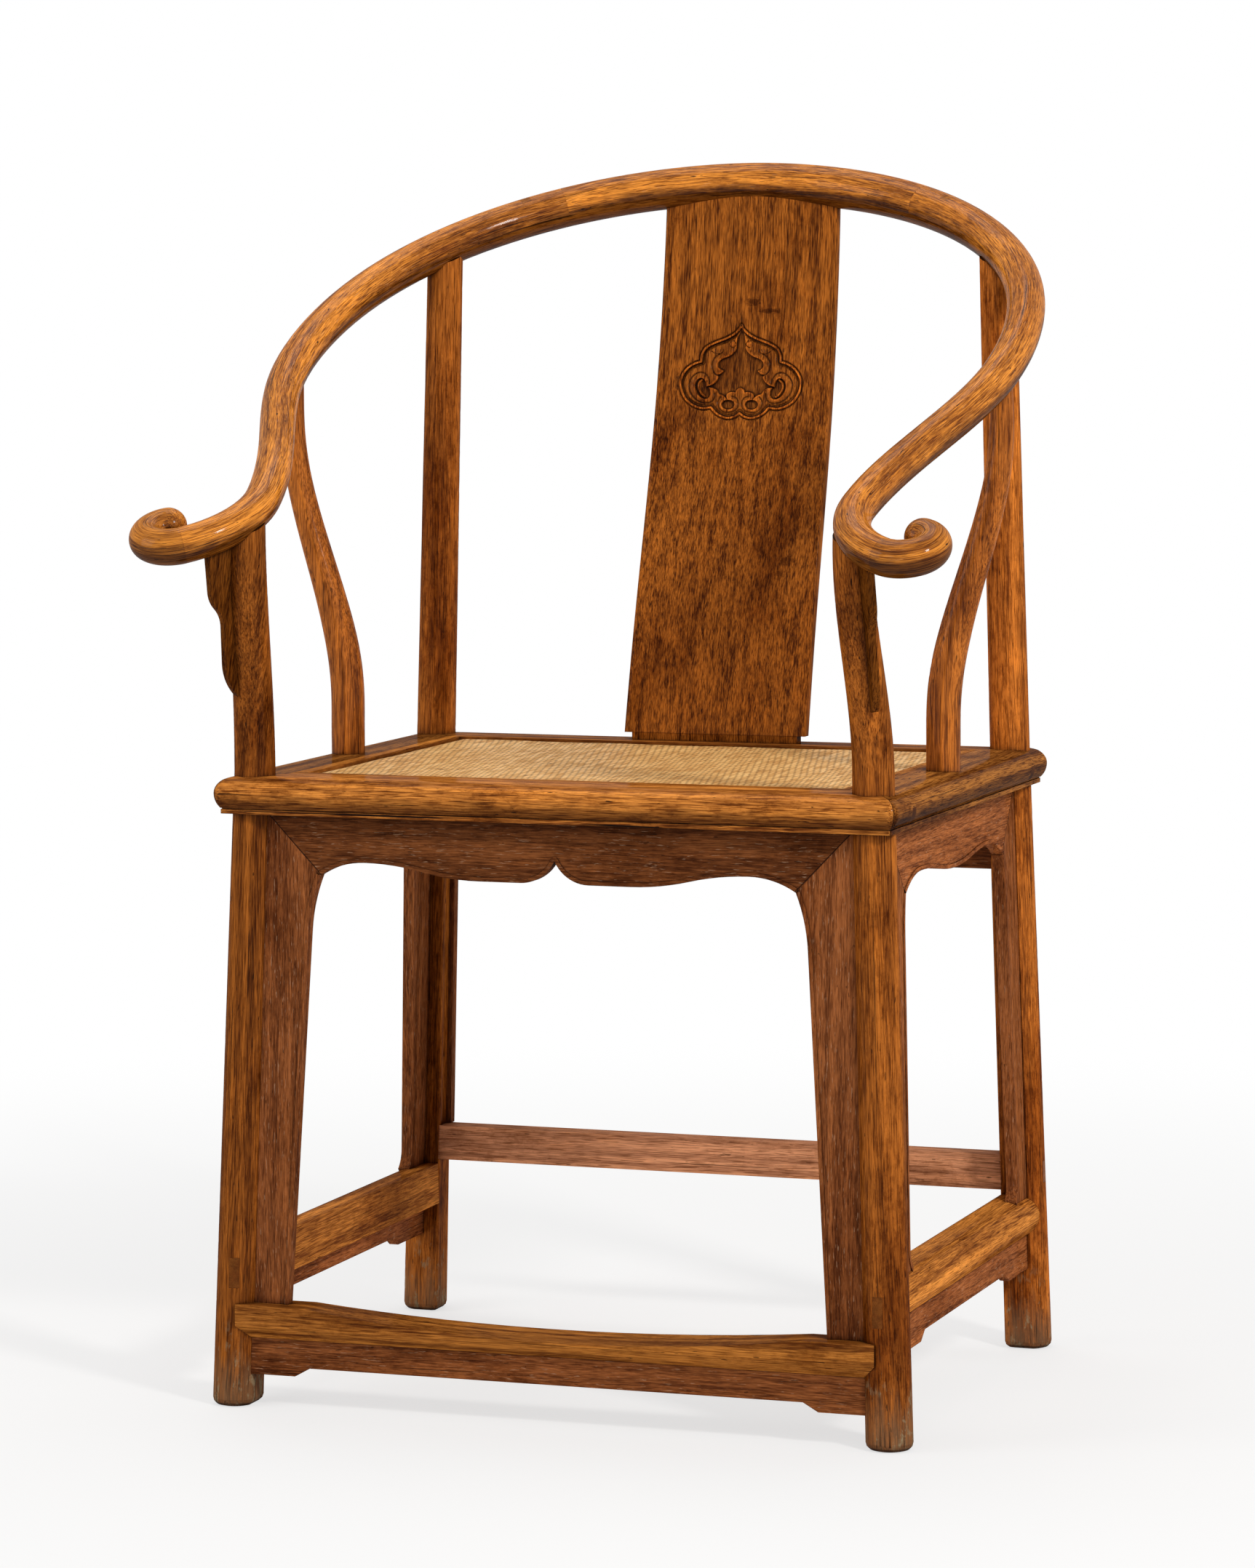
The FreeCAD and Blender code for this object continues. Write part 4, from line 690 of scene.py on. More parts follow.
def from_joint(t, joint):
    """Distance of a spot from a joint.

    joint is the nodes of a frame, whose mitres part it, or a board's middle, a spot on the
    joint and the direction across it, with both sides of the middle alike.
    """
    if isinstance(joint[0], str):
        return past_mitre(t, joint)[1]
    middle, corner, across = joint
    place = t.vector("SUBTRACT", t.here(), tuple(middle))
    return effect(t, "Board Mitre", Place=place, Corner=tuple(corner), Across=across)["Away"]


def grain_place(t, grain, offset):
    """Coordinates with x along a straight grain, moved by an offset so that pieces differ."""
    place = t.here()
    along = Vector(grain).normalized()
    helper = Vector((0, 0, 1)) if abs(along.z) < 0.9 else Vector((0, 1, 0))
    side = helper.cross(along).normalized()
    axes = (along, side, along.cross(side))
    turned = t.whole(*(t.vector("DOT_PRODUCT", place, tuple(axis)) for axis in axes))
    return t.vector("ADD", turned, offset)


def carving_tones(t, colour, roughness, grime):
    """Colour and roughness of the splat with its dark marks, rubbed crests with a painted
    highlight, and dirty ground and grooves with painted shade.
    """
    spot = t.here()
    ragged = t.span(t.noise(spot, (260.0, 260.0, 420.0), 3.0, 0.7), 0.0, 1.0, -1.3, 1.3)
    for across, rise, half_wide, half_high, strength in SPLAT_MARKS:
        offset = t.vector("SUBTRACT", spot, (across / 1000, 0.0, SEAT_TOP + rise / 1000))
        offset = t.vector("MULTIPLY", offset, (1000 / half_wide, 0.0, 1000 / half_high))
        near = t.maths("ADD", t.vector("LENGTH", offset), ragged)
        mark = t.times(t.span(near, 1.25, 0.45, smooth=True), strength)
        colour = t.tint(mark, colour, (0.22, 0.16, 0.14))
    relief = t.add("ShaderNodeAttribute", attribute_name="carving").outputs["Fac"]
    depth = t.span(relief, 0.0, 1.0)
    # Where the carving attribute is negative, a painted highlight with rubbed wood; where positive,
    # painted shade with soiling.
    colour = t.tint(t.span(relief, 0.0, -1.0), colour, (1.75, 1.6, 1.4))
    colour = t.mix(t.times(depth, 0.86), colour, grime)
    return colour, t.maths("MULTIPLY_ADD", depth, 0.18, roughness)


def hardwood(name, kind, grain=(0, 0, 1), offset=(0, 0, 0), path=None, tone=1.0, length=2.2,
             figure=0.5, pores=0.6, patina=0.6, flecks=0.0, gloss=0.03, foot=False, carved=False,
             mitred=None, joint=None, underside=0.0):
    """Polished old hardwood, with its grain along a direction or along the rail's path.

    kind names the pair of colours in WoodFinish, tone tells how much paler or darker this board
    is than the others of its kind, for some pieces partly as painted light and shade, and length
    how long its fibres are. mitred names the node of a frame whose grain turns at its corners,
    joint is what from_joint takes, and underside how much painted shade darkens faces that look
    down.
    """
    t, finish = new_material(name)
    settings = bpy.context.scene.armchair_wood
    light, dark = (
        tuple(Vector(getattr(settings, kind + end)) * tone) for end in ("_light", "_dark")
    )
    grime = tuple(settings.grime)
    if path:
        place = effect(t, path, Place=t.here())["Path"]
    elif mitred:
        place = frame_place(t, [mitred])
    else:
        place = grain_place(t, grain, offset)
    wood = effect(
        t, "Old Hardwood Grain", Place=place, Light=light, Dark=dark, Grime=grime, Figure=figure,
        Pores=pores, Patina=patina, Flecks=flecks, Stretch=(1 / length, 1.0, 1.0))
    edges = effect(t, "Worn Edges", Place=place, Radius=settings.edge_round)
    # Two ambient occlusion masks: soiling with painted shade in corners and joints, and a broad
    # painted shade with some soiling near other parts.
    dirt_and_shade, broad_dirt_and_shade = (
        effect(t, "Joint Grime", Place=place, Reach=reach)["Mask"]
        for reach in (0.003 if carved else 0.007, 0.035)
    )
    colour = t.tint(t.times(edges["Mask"], 0.55), wood["Colour"], (1.45, 1.35, 1.2))
    roughness = wood["Roughness"]
    if not path and not mitred:
        along = tuple(Vector(grain).normalized())
        colour = effect(
            t, "End Grain", Place=place, Grain=along, Colour=colour, Dark=dark, Grime=grime,
        )["Colour"]
    if foot:
        height = t.parts(t.here())[2]
        worn = effect(
            t, "Worn Foot", Place=place, Height=height, Colour=colour, Grime=grime,
            Roughness=roughness)
        colour, roughness = worn["Colour"], worn["Roughness"]
    if carved:
        colour, roughness = carving_tones(t, colour, roughness, grime)
    # Painted shade on faces that look down.
    if underside:
        colour = effect(
            t, "Dark Underside", Place=place, Colour=colour, Share=underside)["Colour"]
    # Broad painted shade near other parts, with some soiling.
    colour = t.tint(t.times(broad_dirt_and_shade, 0.75), colour, (0.42, 0.33, 0.28))
    if joint:
        away = from_joint(t, joint)
        colour = effect(t, "Joint Line", Away=away, Colour=colour, Grime=grime)["Colour"]
    # Soiling and painted shade in corners and joints.
    colour = t.mix(t.times(dirt_and_shade, 0.80), colour, grime)
    roughness = t.maths("MULTIPLY_ADD", dirt_and_shade, 0.20, roughness)
    bump = t.add("ShaderNodeBump", {
        "Height": wood["Height"], "Distance": 0.0005, "Strength": 0.35, "Normal": edges["Normal"],
    })
    return finish({
        "Base Color": colour, "Roughness": roughness, "Normal": bump.outputs[0],
        "Specular IOR Level": 0.0, "Coat Weight": gloss, "Coat Roughness": 0.12,
    })


def dress(node_names, material):
    """Puts one material on CAD nodes or pieces."""
    for name in node_names:
        piece = NODES.get(name) or bpy.data.objects[name]
        piece.data.materials.clear()
        piece.data.materials.append(material)


def both(name):
    """The names of a left and a right node."""
    return [name + "_left", name + "_right"]


# Geometry


def new_piece(name, points, faces, smooth=True):
    """A mesh object from points and faces."""
    mesh = bpy.data.meshes.new(name)
    mesh.from_pydata([tuple(point) for point in points], [], faces)
    mesh.validate()
    if smooth:
        mesh.polygons.foreach_set("use_smooth", [True] * len(mesh.polygons))
    mesh.update()
    piece = bpy.data.objects.new(name, mesh)
    bpy.context.scene.collection.objects.link(piece)
    return piece


def smooth_line(points, steps=8):
    """Points of a smooth curve through a row of points."""
    control = np.array(points, float)
    padded = np.vstack([2 * control[0] - control[1], control, 2 * control[-1] - control[-2]])
    line = []
    for before, start, end, after in zip(padded, padded[1:], padded[2:], padded[3:]):
        for share in np.linspace(0, 1, steps, endpoint=False):
            line.append(0.5 * (
                2 * start + (end - before) * share
                + (2 * before - 5 * start + 4 * end - after) * share ** 2
                + (3 * start - before - 3 * end + after) * share ** 3
            ))
    return np.vstack([line, control[-1]])


def tube_faces(rings, count):
    """Faces that join rings of points, as many in each, into a tube with both ends closed."""
    faces = []
    for base in range(0, (rings - 1) * count, count):
        for place in range(count):
            after = (place + 1) % count
            faces.append((base + place, base + after, base + after + count, base + place + count))
    last = (rings - 1) * count
    return faces + [tuple(reversed(range(count))), tuple(range(last, last + count))]


def distance_to_line(spots, line):
    """Distance from each spot to a polyline."""
    nearest = np.full(len(spots), 1e9)
    for start, end in zip(line, line[1:]):
        run = end - start
        share = np.clip((spots - start) @ run / max(run @ run, 1e-12), 0, 1)
        offset = spots - start - share[:, None] * run
        nearest = np.minimum(nearest, np.einsum("ij,ij->i", offset, offset))
    return np.sqrt(nearest)


def inside_outline(spots, outline):
    """True for each spot inside a closed outline."""
    inside = np.zeros(len(spots), bool)
    for (x0, z0), (x1, z1) in zip(outline, np.roll(outline, -1, 0)):
        crosses = (spots[:, 1] < z0) != (spots[:, 1] < z1)
        at = x0 + (spots[:, 1] - z0) * (x1 - x0) / np.where(z1 == z0, 1e-9, z1 - z0)
        inside ^= crosses & (spots[:, 0] < at)
    return inside


def eased(value, low, high):
    """A smooth step from 0 at low to 1 at high."""
    share = np.clip((value - low) / (high - low), 0, 1)
    return share * share * (3 - 2 * share)


def carving_relief(spots, bead, ground):
    """Height over the face, and a tone from 1 for soiling and painted shade in the hollows to -1
    for rubbed wood with a painted highlight, at spots in millimetres.
    """
    half = np.column_stack([np.abs(spots[:, 0]), spots[:, 1]])
    outline = np.vstack([smooth_line(part) for part in CARVING_OUTLINE])
    sunk_line = np.vstack([smooth_line(part) for part in CARVING_GROUND])
    whole_outline = np.vstack([outline, outline[::-1] * (-1, 1)])
    whole_ground = np.vstack([sunk_line, sunk_line[::-1] * (-1, 1)])

    def signed(line, closed):
        far = distance_to_line(half, line)
        return np.where(inside_outline(half, closed), -far, far)

    def bell(value, middle, width):
        return np.exp(-((value - middle) / width) ** 2)

    def away(points):
        return distance_to_line(half, smooth_line(points) if len(points) > 2 else np.array(points))

    def raised(radius, rim, crown, points):
        share = np.clip(1 - (away(points) / radius) ** 2, 0, 1)
        return share > 0, rim + (crown - rim) * np.sqrt(share)

    edge = signed(outline, whole_outline)
    eyes = [smooth_line(part) for part in (CARVING_SCROLL_EYE, CARVING_RING_EYE)]
    sunk = np.minimum.reduce([signed(sunk_line, whole_ground)] + [signed(eye, eye) for eye in eyes])

    # dark holds soiling and painted shade in the gutter, the cut lines, the sunk ground, the ring
    # round the ball, the outer groove and the stem.
    gutter = 1 - eased(-edge, bead + 1.2, bead + 3.2)
    inside = -0.15 - 1.7 * gutter - 0.40 * eased(sunk, 0.8, 4.5) + 0.30 * bell(sunk, 0.9, 0.6)
    dark = 0.35 * gutter + 0.75 * bell(edge, -bead - 0.35, 0.5)
    for half_width, depth, points in CARVING_LINES:
        far = away(points)
        inside -= depth * bell(far, 0, half_width)
        dark = np.maximum(dark, 0.95 * bell(far, 0, half_width * 0.85))
    wall = eased(-sunk, -0.20, 0.40)
    inside = inside * (1 - wall) - ground * wall
    dark = np.where(sunk < 0.1, 0.42 + 0.55 * bell(sunk, -0.35, 0.6), dark)
    at_crescent, crescent = raised(*CARVING_CRESCENT)
    inside = np.where(at_crescent, np.maximum(inside, crescent), inside)
    dark = np.where(at_crescent & (crescent > -1.7), 0.0, dark)
    at_ball, ball = raised(*CARVING_BALL)
    inside = np.where(at_ball, ball, inside)
    dark = np.where(at_ball, np.clip(-ball - 0.5, 0, 1), dark)
    outside = -1.25 * bell(edge, bead + 0.65, 0.65)
    dark = np.where(edge > 0, 0.95 * bell(edge, bead + 0.5, 0.6), dark)
    height = np.where(edge > 0, outside, inside)
    on_bead = np.abs(edge) < bead
    arch = 0.25 + 1.2 * (np.sqrt(np.clip(1 - (edge / bead) ** 2, 0, 1)) - 1)
    height = np.where(on_bead, np.maximum(arch, np.where(edge > 0, outside, -1.8)), height)
    dark = np.where(on_bead & (height > -0.5), 0.0, dark)
    stem = np.clip((94.0 - spots[:, 1]) / 8.0, 0, 1) * bell(spots[:, 0], 0, 0.55)
    stem = stem * (spots[:, 1] > 79.0)
    height = height - 0.9 * stem
    dark = np.maximum(dark, stem)
    # rubbed holds rubbed wood and a painted highlight on the bead, the crests by the ground, the
    # ball and the crescent.
    rubbed = on_bead * eased(height, -0.3, 0.2)
    rubbed = rubbed + (sunk > 0) * (edge < -bead) * bell(sunk, 0.9, 0.7) * 0.8
    rubbed = rubbed + 0.9 * at_ball * eased(ball, -0.6, 0.2)
    rubbed = rubbed + 0.8 * at_crescent * eased(crescent, -1.5, -0.8)
    return height, np.clip(dark, 0, 1) - np.clip(rubbed, 0, 1) * (dark < 0.35)


def surface_curve(node, direction, low, high):
    """Polynomial of y by height for a CAD node's face that looks towards the front or back."""
    graph = bpy.context.evaluated_depsgraph_get()
    tree = BVHTree.FromObject(node, graph)
    heights, places = [], []
    for height in np.linspace(low, high, 60):
        start = Vector((0.012, -direction * 1.0, height))
        hit = tree.ray_cast(start, Vector((0, direction, 0)))[0]
        if hit is None:
            raise ValueError("the splat's face was not found")
        heights.append(height)
        places.append(hit.y)
    return np.polyfit(np.array(heights) - low, places, 7)


def splat_mesh(front, back):
    """Points, faces and grime of the carved splat, between the curves of its two faces."""
    settings = bpy.context.scene.armchair_carving
    foot, step = settings.foot_height, settings.step
    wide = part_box("back_splat")[1].x
    # Heights of the rows of points, close together at the shoulder and over the carving
    rows = np.unique(np.concatenate([
        [SPLAT_SHOULDER, SPLAT_SHOULDER + 0.0004, SPLAT_SHOULDER + 0.0010],
        np.linspace(SPLAT_SHOULDER + 0.004, foot - 0.004, 34),
        np.arange(foot - 0.003, foot + 0.095, step),
        np.linspace(foot + 0.097, SPLAT_TOP, 14),
    ]))
    carved = SPLAT_CARVED_HALF_WIDTH
    fine = (np.arange(-carved, carved + step / 2, step) + settings.shift) / wide
    columns = np.concatenate([
        np.linspace(-1.0, fine[0], 5)[1:-1], fine, np.linspace(fine[-1], 1.0, 5)[1:-1],
    ])
    # Each point of a section: share of the half width, distance added to it and share of the depth
    right_edge = [
        (1.0, -SPLAT_EDGE_ROUND, 0.0), (1.0, -SPLAT_EDGE_ROUND * 0.3, 0.03), (1.0, 0.0, 0.10),
        (1.0, 0.0, 0.90), (1.0, -SPLAT_EDGE_ROUND * 0.3, 0.97), (1.0, -SPLAT_EDGE_ROUND, 1.0),
    ]
    section = [(share, 0.0, 0.0) for share in columns] + right_edge
    section += [(share, 0.0, 1.0) for share in (0.6, 0.2, -0.2, -0.6)]
    section += [(-share, -inset, depth) for share, inset, depth in reversed(right_edge)]
    share, inset, depth = np.tile(np.array(section), (len(rows), 1)).T
    height = np.repeat(rows, len(section))
    risen = np.clip((height - SPLAT_SHOULDER) / (SPLAT_TOP - SPLAT_SHOULDER), 0, 1)
    across = share * (wide + (SPLAT_TOP_HALF_WIDTH - wide) * risen) + inset
    level = height - SPLAT_SHOULDER - 0.001
    face = np.polyval(front, level)
    along = face + (np.polyval(back, level) - face) * depth
    axis = settings.shift + settings.lean * (height - foot)
    spots = np.column_stack([across - axis, (height - foot) / settings.stretch]) * 1000
    relief, grime = np.zeros(len(spots)), np.zeros(len(spots))
    near = (depth == 0) & (np.abs(spots[:, 0]) < CARVING_REACH)
    near &= (spots[:, 1] > CARVING_LOW) & (spots[:, 1] < CARVING_HIGH)
    relief[near], grime[near] = carving_relief(
        spots[near], settings.bead_radius * 1000, settings.ground_depth * 1000)
    points = np.column_stack([across, along - relief / 1000, height])
    return points, tube_faces(len(rows), len(section)), grime


def carve_splat():
    """The back splat with its sunk and raised carving, in place of the plain board."""
    node = NODES["back_splat"]
    front, back = (
        surface_curve(node, way, SPLAT_SHOULDER + 0.001, SPLAT_FACE_TOP) for way in (1, -1)
    )
    points, faces, grime = splat_mesh(front, back)
    piece = new_piece("back_splat_carved", points, faces)
    # The carving attribute holds painted shade with soiling where positive and a painted highlight
    # with rubbed wood where negative.
    mask = piece.data.attributes.new("carving", "FLOAT", "POINT")
    mask.data.foreach_set("value", grime.astype(np.float32))
    piece.data.set_sharp_from_angle(angle=math.radians(50))
    half = SPLAT_NECK_HALF_WIDTH
    face, rear = (float(np.polyval(curve, 0.0)) for curve in (front, back))
    corners = [
        (x, y, z) for z in (SEAT_TOP - 0.0005, SPLAT_SHOULDER + 0.001)
        for x, y in ((-half, face), (half, face), (half, rear), (-half, rear))
    ]
    neck = new_piece("back_splat_neck", corners, tube_faces(2, 4), smooth=False)
    for part in (piece, neck):
        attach(part, "root")
        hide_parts("back_splat")
    return [piece.name, neck.name]


def woven_mat():
    """The woven mat, hollowed by use, its rim under the edge strips."""
    settings = bpy.context.scene.armchair_seat
    low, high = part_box("seat_mat")
    clearance, rim_width, slope_width = 0.0002, 0.0103, 0.006
    rim_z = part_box("seat_edge_strips")[0].z - clearance
    columns = np.linspace(low.x, high.x, MAT_COLUMNS)
    rows = np.linspace(low.y, high.y, MAT_ROWS)
    points = []
    for y in rows:
        for x in columns:
            inset = min(x - low.x, high.x - x, y - low.y, high.y - y)
            across = (x - low.x) / (high.x - low.x)
            along = (y - low.y) / (high.y - low.y)
            bowl = (math.sin(math.pi * across) * math.sin(math.pi * along)) ** 0.7
            ripple = 0.00022 * math.sin(x * 61 + 1.3 * math.sin(y * 23)) * math.sin(y * 47 + 0.6)
            rise = min(max((inset - rim_width) / slope_width, 0.0), 1.0)
            crown = high.z - settings.sag * bowl + ripple
            points.append((x, y, rim_z + (crown - rim_z) * rise))
    width = len(columns)
    corners = [row * width + place for row in range(len(rows) - 1) for place in range(width - 1)]
    faces = [(corner, corner + 1, corner + width + 1, corner + width) for corner in corners]
    piece = new_piece("woven_mat", points, faces)
    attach(piece, "root")
    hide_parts("seat_mat")
    return piece.name


def cord_tube(line, radius, sides=6):
    """Points and faces of a thin cord along a line."""
    points = []
    line = [Vector(spot) for spot in line]
    for number, spot in enumerate(line):
        ahead = (line[min(number + 1, len(line) - 1)] - line[max(number - 1, 0)]).normalized()
        side = ahead.cross(Vector((0, 0, 1))).normalized()
        rise = side.cross(ahead)
        for place in range(sides):
            angle = 2 * math.pi * place / sides
            points.append(spot + (side * math.cos(angle) + rise * math.sin(angle)) * radius)
    return points, tube_faces(len(line), sides)


def palm_net():
    """The net of palm cords under the mat, woven over and under."""
    settings = bpy.context.scene.armchair_seat
    low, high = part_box("seat_webbing")
    radius = settings.cord_diameter / 2
    middle = (low.z + high.z) / 2
    swing = (high.z - low.z) / 2 - radius
    end_gap, margin = 0.0005, 0.004
    spans = ((low.x, high.x), (low.y, high.y))
    marks = []
    for start, end in spans:
        count = int((end - start - margin) / settings.cord_spacing)
        marks.append([start + (end - start) * (number + 0.5) / count for number in range(count)])
    points, faces = [], []
    for axis, (start, end) in enumerate(spans):
        crossings = marks[axis]
        for number, fixed in enumerate(marks[1 - axis]):
            stops = [(start + end_gap, 0.0)]
            for order, mark in enumerate(crossings):
                stops.append((mark, swing if (order + number + axis) % 2 else -swing))
                if order + 1 < len(crossings):
                    stops.append(((mark + crossings[order + 1]) / 2, 0.0))
            stops.append((end - end_gap, 0.0))
            line = [
                (*((along, fixed) if axis == 0 else (fixed, along)), middle + rise)
                for along, rise in stops
            ]
            more_points, more_faces = cord_tube(line, radius)
            base = len(points)
            points.extend(more_points)
            faces.extend(tuple(base + place for place in face) for face in more_faces)
    piece = new_piece("palm_cord_net", points, faces)
    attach(piece, "root")
    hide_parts("seat_webbing")
    return piece.name


def woven_material():
    """Golden cane in a fine herringbone of long floats, with worn and dark strands, painted shade
    where strands dip and in the gaps, and soiling with painted shade at the rim.
    """
    settings = bpy.context.scene.armchair_seat
    t, finish = new_material("woven_cane")
    place = t.here()
    across, along = t.parts(place)[:2]
    warped = t.maths("MULTIPLY_ADD", t.noise(place, (9.0, 9.0, 9.0), 1.0), 0.012, along)
    column = t.maths("DIVIDE", across, settings.strand_width)
    column_number = t.maths("FLOOR", column)
    in_column = t.maths("SUBTRACT", column, column_number)
    step = t.times(t.maths("FLOORED_MODULO", column_number, 2.0), 0.5)
    step = t.maths("MULTIPLY_ADD", t.maths("PINGPONG", column_number, 34.0), 0.055, step)
    run = t.maths("ADD", t.maths("DIVIDE", warped, settings.float_length), step)
    float_number = t.maths("FLOOR", run)
    in_float = t.maths("SUBTRACT", run, float_number)
    row = t.maths("DIVIDE", along, settings.strand_width * 0.8)
    row_number = t.maths("FLOOR", row)
    in_row = t.maths("SUBTRACT", row, row_number)
    crown = t.maths("SINE", t.times(in_column, math.pi))
    rise = t.maths("SINE", t.times(in_float, math.pi))
    on_top = t.span(rise, 0.18, 0.52, smooth=True)
    warp = t.times(crown, on_top)
    weft = t.times(t.maths("SINE", t.times(in_row, math.pi)), 0.62)
    lift = t.maths("MAXIMUM", warp, weft)
    cell = t.whole(column_number, float_number, 0.0)
    float_tone, row_tone = (
        t.add("ShaderNodeTexWhiteNoise", {"Vector": key}, noise_dimensions="3D").outputs["Value"]
        for key in (cell, t.whole(row_number, 5.0, 1.0))
    )
    age = t.span(t.noise(place, (7.0, 22.0, 7.0), 3.0, 0.6), 0.30, 0.72)
    spots = t.span(t.noise(place, (60.0, 40.0, 60.0), 3.0, 0.65), 0.60, 0.72)
    light, mid, dark = (
        tuple(getattr(settings, "cane_" + name)) for name in ("light", "mid", "dark")
    )
    tone = t.maths("MULTIPLY_ADD", float_tone, 0.65, t.times(row_tone, 0.15))
    tone = t.maths("MULTIPLY_ADD", age, 0.35, tone)
    cane = t.mix(t.span(tone, 0.22, 0.95), light, mid)
    # Painted shade where a strand dips under the next and in the gaps between strands.
    shade_between_strands = t.times(t.span(rise, 0.50, 0.10), t.span(crown, 0.15, 0.75))
    cane = t.mix(t.times(shade_between_strands, 0.85), cane, dark)
    gap_shade = t.span(lift, 0.55, 0.20)
    cane = t.mix(t.times(gap_shade, 0.75), cane, dark)
    worn = t.times(spots, t.span(float_tone, 0.45, 0.60))
    cane = t.mix(t.times(worn, 0.90), cane, dark)
    # Soiling and painted shade where the edge strips close in the mat.
    dirt_and_shade = effect(t, "Joint Grime", Place=place, Reach=0.004)["Mask"]
    cane = t.mix(t.times(dirt_and_shade, 0.5), cane, dark)
    roughness = t.maths("MULTIPLY_ADD", float_tone, 0.25, 0.45)
    bump = t.add("ShaderNodeBump", {"Height": lift, "Distance": 0.0006, "Strength": 0.8})
    return finish({
        "Base Color": cane, "Roughness": roughness, "Normal": bump.outputs[0],
        "Specular IOR Level": 0.06,
    })


def palm_cord_material():
    """Rough brown palm fibre."""
    settings = bpy.context.scene.armchair_seat
    t, finish = new_material("palm_cord")
    place = t.here()
    strands = t.noise(place, (900.0, 900.0, 400.0), 3.0, 0.6)
    tone = t.span(strands, 0.35, 0.68)
    age = t.span(t.noise(place, (30.0, 30.0, 30.0), 2.0), 0.30, 0.70)
    colour = t.mix(tone, tuple(settings.cord_colour), (0.055, 0.028, 0.013))
    colour = t.mix(t.times(age, 0.4), colour, (0.30, 0.18, 0.09))
    bump = t.add("ShaderNodeBump", {"Height": strands, "Distance": 0.0004, "Strength": 0.8})
    return finish({
        "Base Color": colour, "Roughness": t.span(strands, 0.3, 0.7, 0.70, 0.92),
        "Normal": bump.outputs[0], "Specular IOR Level": 0.25,
    })


# Operators, one for each group of like pieces


class ARMCHAIR_OT_rail(bpy.types.Operator):
    """Finish the crest rail, its hooked ends and the pegs of its laps"""

    bl_idname = "armchair.rail"
    bl_label = "Crest Rail"

    def execute(self, context):
        for label, path, names, tone, patina in (
            ("centre", "Rail Centre Path", ["crest_rail_centre"], 1.0, 0.6),
            ("arm", "Rail Arm Path", both("crest_rail_arm"), 1.0, 0.55),
            ("hook", "Rail Hook Path", both("crest_rail_hook"), 0.8, 1.0),
        ):
            # underside puts painted shade on the faces of the rail that look down.
            dress(names, hardwood(
                "rail_" + label, "rail", path=path, tone=tone, length=1.7, figure=0.3, pores=0.9,
                patina=patina, flecks=0.3, gloss=0.20, underside=0.9))
        dress(["crest_rail_pins"], hardwood(
            "rail_pins", "rail", (0.9, 0.4, 0.1), (0.3, 0.1, 0.2), tone=0.62, figure=0.2,
            pores=0.7, gloss=0.15))
        return {"FINISHED"}


class ARMCHAIR_OT_legs(bpy.types.Operator):
    """Finish the four legs with their posts, and the two side posts"""

    bl_idname = "armchair.legs"
    bl_label = "Legs and Posts"

    def execute(self, context):
        # The right legs' higher tones are partly their own wood and partly painted light from the
        # lamp on the right, and the left legs' lower tones partly painted shade.
        for number, (side, lean, front_tone_with_painted_light, rear_tone_with_painted_light) in enumerate((
            ("left", 0.0336, 0.80, 1.15), ("right", -0.0336, 1.05, 1.60),
        )):
            front, rear, post = (
                place + side for place in ("front_leg_", "rear_leg_", "side_post_")
            )
            dress([front], hardwood(
                front, "leg", (lean, 0.019, 1), (0.37 * number, 0.11, 0.07), tone=front_tone_with_painted_light,
                figure=0.3, pores=0.8, patina=0.9, gloss=0.05, foot=True))
            dress([rear], hardwood(
                rear, "leg", (lean, -0.019, 1), (0.23 * number, 0.31, 0.17), tone=rear_tone_with_painted_light,
                figure=0.35, pores=0.8, patina=0.9, gloss=0.05, foot=True))
            dress([post], hardwood(
                post, "leg", (0, 0, 1), (0.13 * number, 0.21, 0.37), tone=1.25, figure=0.3,
                pores=0.7, patina=0.8, gloss=0.16))
        return {"FINISHED"}


class ARMCHAIR_OT_splat(bpy.types.Operator):
    """Carve the back splat and finish it with the two arm spandrels"""

    bl_idname = "armchair.splat"
    bl_label = "Back Splat and Spandrels"

    def execute(self, context):
        names = carve_splat()
        dress(names, hardwood(
            "carved_splat", "splat", (0, 0.12, 1), (0.4, 0.05, 0.0), length=1.6, figure=0.12,
            pores=0.7, patina=0.80, gloss=0.05, carved=True))
        for number, name in enumerate(both("arm_spandrel")):
            dress([name], hardwood(
                name, "splat", (0.1, 0, 1), (0.2 * number, 0.4, 0.3), tone=0.42, length=1.3,
                figure=0.05, pores=0.5, patina=0.5))
        return {"FINISHED"}


class ARMCHAIR_OT_seat(bpy.types.Operator):
    """Finish the seat frame with its edge strips and the braces under it"""

    bl_idname = "armchair.seat"
    bl_label = "Seat Frame"

    def execute(self, context):
        members = ["seat_rail_front", "seat_rail_rear", *both("seat_rail")]
        grains = ((1, 0, 0), (1, 0, 0), (0, 1, 0), (0, 1, 0))
        tones = (1.08, 0.8, 0.50, 0.62)
        for number, (name, grain, tone) in enumerate(zip(members, grains, tones)):
            # underside puts painted shade on the faces of the seat frame that look down.
            dress([name], hardwood(
                name, "seat", grain, (0.31 * number, 0.13 * number, 0.05), tone=tone, figure=0.5,
                pores=1.0, patina=1.0, gloss=0.06, underside=0.7, joint=members))
        dress(["seat_edge_strips"], hardwood(
            "seat_strips", "seat", tone=0.85, mitred="seat_edge_strips"))
        dress(both("seat_brace"), hardwood(
            "seat_braces", "apron", (0, 1, 0), (0.6, 0.1, 0.4), gloss=0.0))
        return {"FINISHED"}


class ARMCHAIR_OT_mat(bpy.types.Operator):
    """Weave the seat's mat and the net of palm cord under it"""

    bl_idname = "armchair.mat"
    bl_label = "Woven Seat"

    def execute(self, context):
        dress([woven_mat()], woven_material())
        dress([palm_net()], palm_cord_material())
        return {"FINISHED"}


